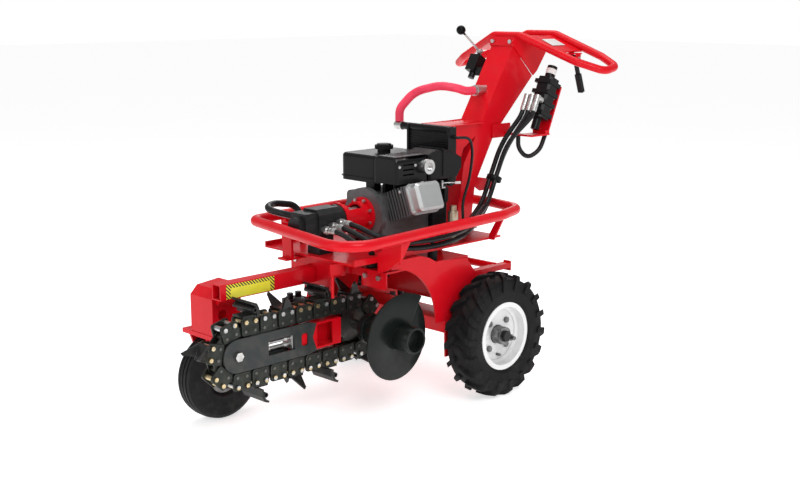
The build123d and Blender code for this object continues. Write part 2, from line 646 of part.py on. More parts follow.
def nose_plates():
    r = BOOM_HALF_H + 3
    made = []
    for y in NOSE_PLATE_Y:
        outline = [(NOSE_X, HEAD_Z + r), (NOSE_BACK - 30, HEAD_Z + r), (NOSE_BACK, HEAD_Z + r - 8),
                   (NOSE_BACK - 16, HEAD_Z), (NOSE_BACK, HEAD_Z - r + 8), (NOSE_BACK - 30, HEAD_Z - r),
                   (NOSE_X, HEAD_Z - r)]
        plate = side_plate(outline, y, y + NOSE_PLATE_T) + rod_y(NOSE_X, HEAD_Z, r, y, y + NOSE_PLATE_T)
        plate -= box(WINDOW[0], WINDOW[1], y - 2, y + 10, HEAD_Z - WINDOW[2], HEAD_Z + WINDOW[2])
        slot = box(-667, -641, y - 2, y + 10, HEAD_Z - 20, HEAD_Z + 20)
        plate -= fillet(slot.edges().filter_by(Axis.Y), 9)
        plate -= rod_y(NOSE_X, HEAD_Z, 12 + RUN_CLEAR, y - 2, y + 10)
        made.append(plate)
    return group(made)


def boom_tensioner():
    """Screw, sleeve and fork that push the nose idler's pin forward."""
    y = CHAIN_Y
    screw = rod_x(y, HEAD_Z + 8, 6, -800, -682)
    screw += rod_x(y, HEAD_Z - 10, 6, -800, -682)
    block = box(-700, -681, -82, -38, HEAD_Z - 24, HEAD_Z + 24)
    fork = box(-812, -798, -83, -37, HEAD_Z - 24, HEAD_Z + 24)
    for a, b in ((-83.6, -75.5), (-44.5, -36.4)):
        fork += box(-945, -798, a + 0.2, b - 0.2, HEAD_Z - 20, HEAD_Z + 20)
    nuts = None
    for z in (HEAD_Z + 8, HEAD_Z - 10):
        for x in (-780, -712):
            nut = Pos(x, y, z) * Rot(0, 90, 0) * extrude(RegularPolygon(8.5, 6), 6, both=True)
            nuts = nut if nuts is None else nuts + nut
    half = 34.0
    pin = rod_y(NOSE_X, HEAD_Z, 12, y - half, y + half)
    for s in SIDES:
        pin += Pos(NOSE_X, y + s * (half + 3), HEAD_Z) * Rot(90, 0, 0) * extrude(RegularPolygon(15, 6), 4, both=True)
    return screw + block + fork + nuts + pin


def nose_idler():
    y = CHAIN_Y
    r = PITCH_R - ROLLER_R - FREE_GAP
    wheel = ring_y(NOSE_X, HEAD_Z, r, 12 + RUN_CLEAR, y - 12, y + 12)
    for s in SIDES:
        wheel -= ring_y(NOSE_X, HEAD_Z, r - 12, 26, y + s * 13, y + s * 7)
    return wheel


def wear_strips():
    """Scalloped strips that the chain's rollers slide on, above and below the boom."""
    made = []
    for s in SIDES:
        a = HEAD_Z + s * BOOM_HALF_H
        z0, z1 = sorted((a, HEAD_Z + s * (PITCH_R - ROLLER_R - FREE_GAP)))
        z0, z1 = (z0 + 3.2, z1) if s > 0 else (z0, z1 - 3.2)
        made.append(box(NOSE_X + 60, HEAD_X - PITCH_R - 30, CHAIN_Y - 12, CHAIN_Y + 12, z0, z1))
    return group(made)


def boom_pivot_tube():
    """Tube that turns in the chassis collars and holds the head shaft's bearings."""
    t = ring_y(HEAD_X, HEAD_Z, PIVOT_R, PIVOT_R - 7, ARM_Y1, PIVOT_Y1)
    t += ring_y(HEAD_X, HEAD_Z, PIVOT_R + 6, HEAD_SHAFT_R + RUN_CLEAR, ARM_Y1, ARM_Y1 + 14)
    t += ring_y(HEAD_X, HEAD_Z, PIVOT_R, HEAD_SHAFT_R + RUN_CLEAR, PIVOT_Y1 - 16, PIVOT_Y1)
    # crank arm for the lift cylinder, one cheek each side of the rod eye
    for y0 in (LIFT_Y - 21, LIFT_Y + 12):
        crank = side_plate([(HEAD_X - 30, HEAD_Z + 26), (LIFT_EYE[0] - 15, LIFT_EYE[1]), (LIFT_EYE[0] - 11, LIFT_EYE[1] + 11),
                            (LIFT_EYE[0] + 11, LIFT_EYE[1] + 11), (LIFT_EYE[0] + 15, LIFT_EYE[1]),
                            (HEAD_X + 30, HEAD_Z + 26)], y0, y0 + 9)
        t += crank
    return t


def dig_motor():
    y0 = PIVOT_Y1 + SEAT_GAP
    motor = rod_y(HEAD_X, HEAD_Z, 44, y0, y0 + 14) + rod_y(HEAD_X, HEAD_Z, 41, y0 + 12, y0 + 66)
    motor += box(HEAD_X - 36, HEAD_X + 36, y0 + 64, y0 + 108, HEAD_Z - 36, HEAD_Z + 36)
    for u in SIDES:
        motor += rod_z(HEAD_X + u * 18, y0 + 86, 11, HEAD_Z + 34, HEAD_Z + 54)
    return motor - rod_y(HEAD_X, HEAD_Z, HEAD_SHAFT_R + RUN_CLEAR, y0 - 5, y0 + 40)


def head_shaft():
    shaft = rod_y(HEAD_X, HEAD_Z, HEAD_SHAFT_R, AUGER_Y0 - 30, PIVOT_Y1 + 30)
    return shaft + rod_y(HEAD_X, HEAD_Z, 25, CHAIN_Y + 7, ARM_Y0 - 3)


def drive_sprocket():
    y = CHAIN_Y
    wheel = ring_y(HEAD_X, HEAD_Z, PITCH_R + 1.5, HEAD_SHAFT_R, y - 6, y + 6)
    for k in range(TEETH):
        a = math.radians(360 / TEETH * k)
        wheel -= rod_y(HEAD_X + PITCH_R * math.cos(a), HEAD_Z + PITCH_R * math.sin(a), ROLLER_R + FREE_GAP, y - 8, y + 8)
    return wheel


def auger():
    """Spoil auger: hub tube with one turn of flight that starts as a full-width blade."""
    hub = ring_y(HEAD_X, HEAD_Z, AUGER_HUB_R, AUGER_HUB_R - 8, AUGER_Y0, AUGER_Y1)
    web = ring_y(HEAD_X, HEAD_Z, AUGER_HUB_R - 7, HEAD_SHAFT_R, AUGER_Y0, AUGER_Y0 - 20)
    cap = rod_y(HEAD_X, HEAD_Z, AUGER_HUB_R - 7, AUGER_Y1 + 34, AUGER_Y1 + 28)
    steps = 36
    flight = None
    depth = FLIGHT_PITCH / steps
    wedge_deg = 360 / steps
    far_r = AUGER_R / math.cos(math.radians(wedge_deg / 2)) + 1
    rim = ring_y(HEAD_X, HEAD_Z, AUGER_R, AUGER_HUB_R - 2, FLIGHT_Y0 - 10, FLIGHT_Y0 + FLIGHT_PITCH + 20)
    for k in range(steps):
        a0 = math.radians(60 + k * wedge_deg - 0.6)
        a1 = math.radians(60 + (k + 1) * wedge_deg + 0.6)
        points = [(HEAD_X, HEAD_Z), (HEAD_X + far_r * math.cos(a0), HEAD_Z + far_r * math.sin(a0)),
                  (HEAD_X + far_r * math.cos(a1), HEAD_Z + far_r * math.sin(a1))]
        y = FLIGHT_Y0 + k * depth
        wedge = side_plate(points, y, y + FLIGHT_T)
        flight = wedge if flight is None else flight + wedge
    return hub + web + cap + (flight & rim)


# ---- mast and handlebar -----------------------------------------------------------------------


def mast():
    """Closed box column, which is also the oil tank, with the forward arms for the cooler."""
    outline = MAST_FRONT + MAST_BACK
    w = MAST_HALF_W
    column = side_plate(outline, -w, w)
    inner = offset(make_face(Polyline(*[(x, 0, z) for x, z in outline], close=True)), amount=-MAST_WALL)
    column -= Pos(0, -(w - MAST_WALL), 0) * extrude(inner, amount=2 * (w - MAST_WALL), dir=(0, 1, 0))
    arm = [(COOLER_X + COOLER_T / 2 + SEAT_GAP, 885), (210, 889), (180, 842), (110, 800), (70, 690),
           (COOLER_X + COOLER_T / 2 + SEAT_GAP, 690)]
    for s in SIDES:
        y0 = s * w
        column += side_plate(arm, y0, y0 - s * MAST_WALL)
        lip = box(COOLER_X + COOLER_T / 2 + SEAT_GAP, 196, min(y0, y0 + s * 18), max(y0, y0 + s * 18), 881, 885)
        column += lip
    column += box(COOLER_X + COOLER_T / 2 + SEAT_GAP, 206, -w, w, 881, 885)
    tab = side_plate([(182, 692), (268, 676), (276, 640), (206, 640), (170, 664)], -w + 6, -w + 12)
    column += tab
    column += box(52, 160, -w - 22, w + 22, DECK_Z, DECK_Z + 8)
    return column


BAR_POINTS = [
    (394, -62, 1178), (452, -262, 1092), (510, -346, 1060), (588, -338, 1072), (606, -262, 1104), (588, -66, 1180),
    (588, 66, 1180), (606, 262, 1104), (588, 338, 1072), (510, 346, 1060), (452, 262, 1092), (394, 62, 1178),
]


def handlebar():
    """Ring handlebar with its crown plate, side panels and the neck that bolts to the mast."""
    path = FilletPolyline(*BAR_POINTS, radius=[40, 60, 42, 34, 50, 50, 50, 50, 34, 42, 60, 40], close=True)
    plane = Plane(origin=path @ 0, z_dir=path % 0)
    ring = sweep(plane * Circle(BAR_TUBE_R), path=path)
    crown = box(376, 600, -62, 62, 1168, 1174)
    top_mast = [(366 - 4, 1141 + 3), (477 + 1, 1033 + 2), (498, 1050), (590, 1170), (372, 1172), (356, 1158)]
    for s in SIDES:
        y0 = s * (MAST_HALF_W + SEAT_GAP)
        crown += side_plate(top_mast, y0, y0 + s * 5)
        panel = [(s * 58, 1174), (s * 62, 1176), (s * 185, 1124), (s * 183, 1119), (s * 60, 1168)]
        crown += cross_plate(panel, 424, 592)
    lip = box(364, 371, -MAST_HALF_W - 5, MAST_HALF_W + 5, 1142, 1174)
    x, y, z = DRIVE_PIVOT
    clevis = box(x - 18, x + 18, y - 18, y + 20, z + 12, z + 17)
    for y0, top in ((y - 18, z + 14), (y + 12, z + 27)):
        clevis += box(x - 12, x + 12, y0, y0 + 6, z - 12, top)
    clevis -= rod_y(x, z, 5 + SEAT_GAP, y - 30, y + 30)
    return ring + crown + lip + clevis


# ---- engine -----------------------------------------------------------------------------------
def engine_block():
    """Crankcase with its side cover, feet and the finned cylinder that leans to the auger side."""
    z = CRANK_Z
    case = box(PTO_X + 12, -95, -78, 92, DECK_Z + 14, z + 72)
    case = fillet(case.edges().filter_by(Axis.X), 16)
    case += rod_x(0, z, 88, PTO_X, PTO_X + 22)
    for s in SIDES:
        case += box(PTO_X + 20, -96, s * 82 - 22, s * 82 + 22, DECK_Z, DECK_Z + 16)
    tilt = Pos(-205, 0, z) * Rot(-CYLINDER_LEAN, 0, 0)
    cylinder = tilt * (Pos(-14, -118, 0) * Box(96, 100, 84))
    for k in range(7):
        cylinder += tilt * (Pos(-14, -82 - 13 * k, 0) * Box(126, 5, 98))
    case += cylinder
    case += tilt * (Pos(-14, -172, 0) * Box(120, 12, 96))
    bore = rod_x(0, z, CRANK_R + RUN_CLEAR, PTO_X - 5, -90)
    well = rod_x(0, z, 60, PTO_X + 40, -120)
    return case - bore - well


def valve_cover():
    z = CRANK_Z
    tilt = Pos(-205, 0, z) * Rot(-CYLINDER_LEAN, 0, 0)
    cover = Pos(-14, -201.1, 0) * Box(112, 46, 92)
    cover = fillet(cover.edges().filter_by(Axis.Y), 14)
    cover = chamfer(cover.faces().sort_by(Axis.Y)[0].edges(), 9)
    rim = Pos(-14, -181, 0) * Box(124, 5.6, 102)
    rim = fillet(rim.edges().filter_by(Axis.Y), 16)
    return tilt * (cover + rim)


def fuel_tank():
    body = box(TANK_X0, TANK_X1, TANK_Y0, TANK_Y1, TANK_Z0, TANK_Z1)
    body = fillet(body.edges().filter_by(Axis.Z), 22)
    body = fillet(body.faces().sort_by(Axis.Z)[-1].edges(), 12)
    seam = box(TANK_X0 - 4, TANK_X1 + 4, TANK_Y0 - 4, TANK_Y1 + 4, TANK_Z0 + 12, TANK_Z0 + 15)
    seam = fillet(seam.edges().filter_by(Axis.Z), 24)
    body += seam
    body += rod_z(CAP_X, CAP_Y, 22, TANK_Z1 - 4, TANK_Z1 + 12)
    for x in (-270, -140):
        body += box(x, x + 30, 0, 40, CRANK_Z + 72, TANK_Z0 + 1)
    inner = box(TANK_X0 + 4, TANK_X1 - 4, TANK_Y0 + 4, TANK_Y1 - 4, TANK_Z0 + 4, TANK_Z1 - 4)
    inner = fillet(inner.edges().filter_by(Axis.Z), 18)
    return body - inner - rod_z(CAP_X, CAP_Y, 18, TANK_Z1 - 8, TANK_Z1 + 14)


def fuel_cap():
    z = TANK_Z1 + 12 + FREE_GAP
    cap = rod_z(CAP_X, CAP_Y, 31, z, z + 13)
    for k in range(12):
        a = math.radians(30 * k)
        cap -= rod_z(CAP_X + 33 * math.cos(a), CAP_Y + 33 * math.sin(a), 4, z - 1, z + 14)
    cap += rod_z(CAP_X, CAP_Y, 24, z + 12, z + 17)
    return cap + rod_z(CAP_X, CAP_Y, 18 - FREE_GAP, z - 12, z + 1)


def muffler_cover():
    """Pressed steel guard with cooling slots, over the silencer."""
    body = box(MUFF_X0, MUFF_X1, MUFF_Y0, MUFF_Y1, MUFF_Z0, MUFF_Z1)
    body = fillet(body.edges().filter_by(Axis.X).sort_by(Axis.Z)[-2:], 22)
    body = fillet(body.edges().filter_by(Axis.Z), 10)
    body -= box(MUFF_X0 + 3, MUFF_X1 - 3, MUFF_Y0 + 3, MUFF_Y1 - 3, MUFF_Z0 - 1, MUFF_Z1 - 3)
    for k in range(8):
        x = MUFF_X0 + 24 + 15 * k
        body -= box(x, x + 6, MUFF_Y0 + 28, MUFF_Y1 - 20, MUFF_Z1 - 20, MUFF_Z1 + 2)
    for k in range(3):
        z = MUFF_Z0 + 26 + 16 * k
        body -= box(MUFF_X0 + 30, MUFF_X0 + 80, MUFF_Y0 - 1, MUFF_Y0 + 8, z, z + 5)
    can = box(MUFF_X0 + 10, MUFF_X1 - 10, MUFF_Y0 + 14, MUFF_Y1 - 14, MUFF_Z0 + 6, MUFF_Z1 - 20)
    strap = box(MUFF_X0 + 60, MUFF_X0 + 72, MUFF_Y0 + 1, MUFF_Y1 - 1, MUFF_Z0 + 8, MUFF_Z0 + 14)
    pipe = box(MUFF_X0 + 36, MUFF_X0 + 76, MUFF_Y1 - 16, MUFF_Y1 - 5, CRANK_Z + 72, MUFF_Z0 + 8)
    return body + can + strap + pipe


def exhaust_outlet():
    x, z = MUFF_X1 - 22, MUFF_Z0 + 50
    out = rod_y(x, z, 20, MUFF_Y0 - SEAT_GAP, MUFF_Y0 - 16) + rod_y(x, z, 24, MUFF_Y0 - 14, MUFF_Y0 - 30)
    return out - rod_y(x, z, 14, MUFF_Y0 - 20, MUFF_Y0 - 40)


def air_cleaner():
    outline = [(AIR_X0, AIR_Z0), (AIR_X0, AIR_Z1 - 12), (AIR_X0 + 40, AIR_Z1), (AIR_X1 - 50, AIR_Z1 - 6),
               (AIR_X1, AIR_Z1 - 34), (AIR_X1, AIR_Z0 + 30), (AIR_X1 - 22, AIR_Z0)]
    body = side_plate(outline, AIR_Y0, AIR_Y1)
    body = chamfer(body.faces().sort_by(Axis.Y)[0].edges(), 7)
    body -= box(COOLER_X - COOLER_T / 2 - 4, AIR_X1 + 1, -COOLER_W / 2 - 6, AIR_Y1 + 1, AIR_Z0 - 1, AIR_Z1 + 1)
    body += box(AIR_X0 + 62, AIR_X0 + 68, AIR_Y0 - 3, AIR_Y1, AIR_Z0 + 12, AIR_Z1 + 2)
    body += box(AIR_X0 + 20, AIR_X0 + 58, AIR_Y1 - 30, AIR_Y1 - 4, CRANK_Z + 72, AIR_Z0 + 12)
    return body


def recoil_cover():
    """Fan housing and recoil starter cover on the operator's side of the engine."""
    z = CRANK_Z
    x0, x1 = -95 + SEAT_GAP, ENGINE_BACK
    shell = rod_x(0, z, FAN_R, x0, x1) + box(x0, x1, -FAN_R, 0, z - 86, z + 88)
    shell = fillet(shell.faces().sort_by(Axis.X)[-1].edges(), 10)
    shell -= rod_x(0, z, FAN_R - 6, x0 - 1, x1 - 6)
    for k in range(16):
        a = math.radians(22.5 * k)
        shell -= rod_x(72 * math.cos(a), z + 72 * math.sin(a), 6, x1 - 10, x1 + 2)
    shell += rod_x(0, z, 40, x1 - 3, x1 + 12) - rod_x(0, z, CRANK_R + 3, x1 - 20, x1 + 6)
    return shell - rod_y(STARTER_X, STARTER_Z, 4, -FAN_R - 10, -FAN_R + 26)


STARTER_X, STARTER_Z = -44.0, CRANK_Z + 48


def starter_grip():
    y = -FAN_R - FREE_GAP
    grip = box(STARTER_X - 9, STARTER_X + 9, y - 16, y, STARTER_Z - 26, STARTER_Z + 26)
    grip = fillet(grip.edges().filter_by(Axis.Y), 7)
    return grip + rod_y(STARTER_X, STARTER_Z, 3, y - 2, -FAN_R + 10)


def crankshaft():
    """Crankshaft, flywheel and the coupling that drives the pump."""
    z = CRANK_Z
    shaft = rod_x(0, z, CRANK_R, PUMP_X + 8, -34)
    shaft += rod_x(0, z, FAN_R - 14, -86, -46)
    shaft += rod_x(0, z, 48, PTO_X + 60, PTO_X + 76) + rod_x(0, z, 48, PTO_X + 120, PTO_X + 136)
    shaft += rod_x(0, z, 30, PTO_X - 84, PTO_X - 20)
    return shaft


def throttle_lever():
    x, y, z = THROTTLE
    lever = rod_z(x, y, 9, z - 2, z + 2)
    lever += Pos(x + 22, y - 16, z) * Rot(0, 0, -36) * Box(52, 9, 3)
    lever += Pos(x + 42, y - 31, z) * Rot(0, 0, -36) * Box(20, 14, 8)
    return lever - rod_z(x, y, THROTTLE_PIN_R + RUN_CLEAR, z - 5, z + 5)


def choke_lever():
    x, y, z = CHOKE
    lever = rod_z(x, y, 7, z - 2, z + 2)
    lever += Pos(x + 14, y - 12, z) * Rot(0, 0, -40) * Box(34, 8, 3)
    return lever - rod_z(x, y, CHOKE_PIN_R + RUN_CLEAR, z - 5, z + 5)


def lever_posts():
    """Pins and brackets of the throttle on the fan housing and of the choke under the air cleaner."""
    x, y, z = THROTTLE
    throttle = rod_z(x, y, THROTTLE_PIN_R, z - 14, z + 8)
    throttle += box(x - 8, x + 8, y - 8, -FAN_R - SEAT_GAP, z - 18, z - 13)
    x, y, z = CHOKE
    choke = rod_z(x, y, CHOKE_PIN_R, z - 8, z + 6) + box(x - 7, x + 7, y - 7, y + 26, z - 12, z - 8)
    choke += box(x - 7, x + 7, y + 20, y + 26, z - 12, AIR_Z0 - SEAT_GAP)
    return [throttle, choke]


def engine_switch():
    x, y, z = SWITCH
    knob = rod_y(x, z, 11, y - FREE_GAP, y - 9)
    return knob + box(x - 3, x + 3, y - 16, y - 8, z - 11, z + 11)


def oil_filter():
    """Small spin-on filter with its head by the valve cover."""
    x, y = -78.0, -176.0
    body = rod_z(x, y, 17, DECK_Z + 38, DECK_Z + 104)
    body += rod_z(x, y, 20, DECK_Z + 20, DECK_Z + 40) + rod_z(x, y, 11, DECK_Z + 102, DECK_Z + 122)
    return body + box(x - 14, x + 14, y - 14, y + 14, DECK_Z, DECK_Z + 22)


def pump_adapter():
    """Open bell between the engine and the pump, with two round flanges."""
    z = CRANK_Z
    x0, x1 = PUMP_X + SEAT_GAP, PTO_X - SEAT_GAP
    bell = rod_x(0, z, ADAPTER_R - 10, x0, x1)
    bell += rod_x(0, z, ADAPTER_R - 4, x0, x0 + 10) + rod_x(0, z, ADAPTER_R + 2, x1 - 12, x1)
    bell -= rod_x(0, z, ADAPTER_R - 18, x0 - 1, x1 + 1)
    bell -= box(x0 + 24, x1 - 34, -34, 34, z + 20, z + 80)
    bell -= box(x0 + 24, x1 - 34, -34, 34, z - 80, z - 20)
    return bell


def hydraulic_pump():
    """Two-stage gear pump: flanged body, waist and rear section."""
    z = CRANK_Z
    body = rod_x(0, z, 48, PUMP_X - 16, PUMP_X)
    main = box(PUMP_X - 112, PUMP_X - 14, -44, 44, z - 44, z + PUMP_H / 2)
    main = chamfer(main.edges().filter_by(Axis.X), 16)
    body += main
    body += box(PUMP_X - PUMP_L, PUMP_X - 110, -36, 36, z - 38, z + 38)
    body += rod_x(0, z, 27, PUMP_X - PUMP_L - 20, PUMP_X - PUMP_L + 1)
    body += box(PUMP_X - 100, PUMP_X - 40, -28, 28, DECK_Z, z - 40)
    return body - rod_x(0, z, CRANK_R + RUN_CLEAR, PUMP_X - 2, PUMP_X + 10) - rod_x(0, z, 14, PUMP_X - 3, PUMP_X + 1)


# ---- cooler, valves and hoses -----------------------------------------------------------------
def oil_cooler():
    """Finned core between two header pipes, on side plates."""
    x, t = COOLER_X, COOLER_T / 2
    y0, y1 = -COOLER_W / 2, COOLER_W / 2
    z0, z1 = COOLER_TOP - COOLER_H, COOLER_TOP
    core = box(x - t + 8, x + t - 8, y0 + 8, y1 - 8, z0 + 8, z1 - 16)
    for k in range(20):
        z = z0 + 12 + k * 8.0
        core += box(x - t + 4, x + t - 4, y0 + 6, y1 - 6, z, z + 2.5)
    core += box(x - t, x + t, y0, y0 + 8, z0, z1) + box(x - t, x + t, y1 - 8, y1, z0, z1)
    core += rod_y(x - 4, z1 - 10, 13, y0 - 2, y1 + 34) + rod_y(x - 4, z0 + 4, 13, y0 - 2, y1 + 2)
    return core


PORT_END = -74.0             # outer ends of the pump's three near fittings
SUCTION = [(-4, 150, COOLER_TOP + 5 + SEAT_GAP), (-4, 150, 930), (40, 120, 990), (96, 50, 1012), (140, 10, 1002),
           (176, 4, 990), (216 - SEAT_GAP, 4, 990)]
BUNDLE = [(264, -90, 808), (220, -78, 690), (166, -92, 612), (60, -136, 572),
          (-80, -214, 560), (-230, -238, 552), (-360, -222, 556)]
BUNDLE_STEP = ((0, 0, 0), (19, -2, -22), (9, -20, 4))
PUMP_LOOP = [(-570, 36 + SEAT_GAP, 634), (-570, 90, 634), (-600, 160, 648), (-540, 196, 656), (-450, 190, 640),
             (-440, 164, 590), (-440, 164, DECK_Z + SEAT_GAP)]
BUNDLE_R = 8.5
VALVE_LOOP = [(458.6, -154, 894.4), (434.3, -154, 839.7), (405, -150, 775), (366, -124, 748), (335, -108, 786),
              (335, -108, 832 - SEAT_GAP)]
COOLER_LINE = [(6, -COOLER_W / 2 - SEAT_GAP, 850), (6, -118, 850), (64, -122, 846), (98, -104, 790), (92, -96, 700),
               (56, -96, 620), (44, -112, 560), (44, -112, DECK_Z + SEAT_GAP)]


def hose_radii(points):
    """Each bend's radius: 0.45 of the shorter run beside it over the tangent of half its turn."""
    radii = []
    for a, b, c in zip(points, points[1:], points[2:]):
        va, vc = Vector(*b) - Vector(*a), Vector(*c) - Vector(*b)
        turn = math.radians(va.get_angle(vc))
        radii.append(0.45 * min(va.length, vc.length) / math.tan(turn / 2))
    return radii


def hose(points, r):
    radii = hose_radii(points)
    print("bend radii", [round(v) for v in radii])
    return tube(points, radii, r)


def valve_port(n):
    """Lower end of the drive valve's fitting n, on its mast side."""
    along, out = -44.0, -62.0
    x = VALVE_X + out * math.cos(VALVE_LEAN) + along * math.sin(VALVE_LEAN)
    z = VALVE_Z - out * math.sin(VALVE_LEAN) + along * math.cos(VALVE_LEAN)
    return x, VALVE_Y + 24 * (1 - n), z


def pump_port(n):
    """X and Z of the pump's near fitting n."""
    return PUMP_X - (34, 66, 96)[n], CRANK_Z - 8 * n


def suction_hose():
    return hose(SUCTION, 15)


def hydraulic_hoses():
    """Black pressure hoses: three beside the mast, the pump loop, the valve loop and the cooler line."""
    made = []
    for n, (dx, dy, dz) in enumerate(BUNDLE_STEP):
        (xa, ya, za), (ux, uz) = valve_port(n), (math.sin(VALVE_LEAN), math.cos(VALVE_LEAN))
        route = [(xa - a * ux, ya, za - a * uz) for a in (SEAT_GAP, 46)]
        route += [(x + dx, y + dy, z + dz) for x, y, z in BUNDLE]
        x, z = pump_port(n)
        route += [(x + 24, -188 - 10 * n, z - 26 - 8 * n), (x, -122, z), (x, PORT_END - SEAT_GAP, z)]
        made.append(hose(route, BUNDLE_R))
    made.append(hose(PUMP_LOOP, 11))
    made.append(hose(VALVE_LOOP, 8))
    made.append(hose(COOLER_LINE, 5))
    return group(made)


def control_valves():
    """Drive valve under the near grip and the small boom valve on the far side of the mast."""
    x, y, z = VALVE_X, VALVE_Y, VALVE_Z
    tilt = Pos(x, y, z) * Rot(0, 24, 0)
    main = Box(54, 62, VALVE_H)
    main = chamfer(main.edges().filter_by(Axis.Z), 8)
    for k in range(4):
        main += Pos(0, 0, -58 + 38 * k) * Box(64, 70, 14)
    main += Pos(0, 0, VALVE_H / 2 + 22) * Cylinder(18, 46)
    main += Pos(0, 0, -VALVE_H / 2 - 20) * Cylinder(15, 42)
    bx, by, bz = BOOM_VALVE
    small = Pos(bx, by, bz) * Rot(0, 30, 0) * (Box(48, 44, 62) + Pos(0, 0, -42) * Cylinder(12, 26)
                                               + Pos(0, 0, 35) * Cylinder(9, 10))
    small += box(bx - 26, bx + 8, MAST_HALF_W + SEAT_GAP, by - 20, bz - 38, bz - 8)
    return group([tilt * main, small])


def valve_bracket():
    """Red arm that reaches out from the mast and rises behind the drive valve."""
    y0 = -MAST_HALF_W - SEAT_GAP
    arm = box(254, 350, y0 - 8, y0, 824, 872)
    arm += box(320, 350, VALVE_Y - 30, y0, 832, 838)
    arm += box(320, 420, VALVE_Y - 32, VALVE_Y + 30, 832, 838)
    plate = Pos(44, 0, -22) * Box(6, 58, 166)
    for z in PORT_Z:
        plate -= Pos(44, -4, z) * Rot(0, 90, 0) * Cylinder(13.6, 8)
    arm += Pos(VALVE_X, VALVE_Y, VALVE_Z) * Rot(0, 24, 0) * plate
    arm += box(398, 420, VALVE_Y - 30, VALVE_Y + 28, 832, 850)
    return arm


def hose_fittings():
    """Steel elbows and couplings on the valve, the pump, the cooler and the mast."""
    made = []
    tilt = Pos(VALVE_X, VALVE_Y, VALVE_Z) * Rot(0, 24, 0)
    hexagon = extrude(RegularPolygon(11.5, 6), 5, both=True)
    places = [(-1, y, -19) for y in (-24, 0, 24)] + [(1, -4, z) for z in PORT_Z]
    for side, y, z in places:
        fit = Pos(side * 44, y, z) * Rot(0, 90, 0) * (Cylinder(9, 23.4) + hexagon)
        fit += Pos(side * 62, y, z - 8) * Cylinder(10, 34)
        made.append(tilt * fit)
    for n in range(len(BUNDLE_STEP)):
        x, z = pump_port(n)
        made.append(rod_y(x, z, 9, -44 - SEAT_GAP, PORT_END) + rod_y(x, z, 13, -56, -66))
    made.append(rod_y(COOLER_X - 4, COOLER_TOP - 10, 15, COOLER_W / 2 + 34 + SEAT_GAP, COOLER_W / 2 + 66))
    coupling = rod_x(4, 990, 17, 216, 320) + rod_x(4, 990, 19, 226, 244)
    made.append(coupling - side_plate([(x - SEAT_GAP, z) for x, z in MAST_FRONT + MAST_BACK], -60, 60))
    return group(made)


def drive_lever():
    """Hand lever that hangs under the near panel, with its forked pivot."""
    x, y, z = DRIVE_PIVOT
    lever = rod_y(x, z, 10, y - 9, y + 9) - rod_y(x, z, 5 + RUN_CLEAR, y - 12, y + 12)
    lever += Pos(x + 18, y, z - 46) * Rot(0, -20, 0) * Box(9, 14, 84)
    grip = Pos(x + 34, y, z - 92) * Rot(0, -20, 0) * Box(15, 20, 70)
    return lever + grip


def boom_lever():
    """Stick with a ball knob on top of the boom valve."""
    a, b = Vector(*BOOM_LEVER), Vector(*BALL)
    plane = Plane(origin=a, z_dir=(b - a))
    stick = plane * Pos(0, 0, (b - a).length / 2 + 4) * Cylinder(4, (b - a).length - 8)
    stick += Pos(*BALL) * Sphere(17)
    eye = rod_y(a.X, a.Z, 9, a.Y - 7, a.Y + 7) - rod_y(a.X, a.Z, 4 + RUN_CLEAR, a.Y - 9, a.Y + 9)
    return stick - rod_y(a.X, a.Z, 8, a.Y - 7, a.Y + 7) + eye


def fasteners():
    """Bolts of the crown, the beam bracket, the pump flanges and the lift cylinder's base pin, with the lever pins."""
    made = []
    for s in SIDES:
        made.append(rod_x(s * 40, 1158, 7, 356, 364 - SEAT_GAP))
    for y in (-200, -140, 200):
        made.append(rod_x(y, CHASSIS_TOP - 20, 8, CHASSIS_FRONT - 9, CHASSIS_FRONT - SEAT_GAP))
    for k in range(8):
        a = math.radians(22.5 + 45 * k)
        y, z = 52 * math.cos(a), CRANK_Z + 52 * math.sin(a)
        made.append(rod_x(y, z, 5.5, PTO_X - 20, PTO_X - 12 - 2 * SEAT_GAP))
    made.append(rod_y(LIFT_BASE_X, LIFT_BASE_Z, LIFT_PIN_R, LIFT_Y - 26, LIFT_Y + 26))
    x, y, z = DRIVE_PIVOT
    made.append(rod_y(x, z, 5, y - 22, y + 22))
    x, y, z = BOOM_LEVER
    made.append(rod_y(x, z, 4, y - 15, y + 15))
    made += lever_posts()
    return group(made)


def build():
    for side, tag in ((-1, "near"), (1, "far")):
        parts["rear_tyre_" + tag] = rear_tyre(side)
        parts["rear_rim_" + tag] = rear_rim(side)
        parts["rear_hub_" + tag] = rear_hub(side)
    makers = [
        wheel_motors, front_tyre, front_rim, front_wheel_bracket, front_axle, lower_chassis, lift_cylinder,
        lift_rod, isolators, engine_deck, guard_rail, front_bracket, label_beam, chain_bars, chain_pins,
        chain_bolts, cutters, boom_bar, nose_plates, boom_tensioner, nose_idler, wear_strips, boom_pivot_tube,
        dig_motor, head_shaft, drive_sprocket, auger, mast, handlebar, engine_block, valve_cover, fuel_tank,
        fuel_cap, muffler_cover, exhaust_outlet, air_cleaner, recoil_cover, starter_grip, crankshaft,
        throttle_lever, choke_lever, engine_switch, oil_filter, pump_adapter, hydraulic_pump, oil_cooler,
        suction_hose, hydraulic_hoses, control_valves, valve_bracket, hose_fittings, drive_lever, boom_lever,
        fasteners,
    ]
    for maker in makers:
        parts[maker.__name__] = maker()


def main():
    os.makedirs("parts", exist_ok=True)
    build()
    whole = Compound(children=[s for part in parts.values() for s in part.solids()]).bounding_box()
    middle_x, middle_y = (whole.min.X + whole.max.X) / 2, (whole.min.Y + whole.max.Y) / 2
    print("origin shift", round(-middle_x, 4), round(-middle_y, 4), round(-whole.min.Z, 4), "size", whole.size)
    for name, part in parts.items():
        export_step(Pos(-middle_x, -middle_y, -whole.min.Z) * part, f"parts/{name}.step")


main()
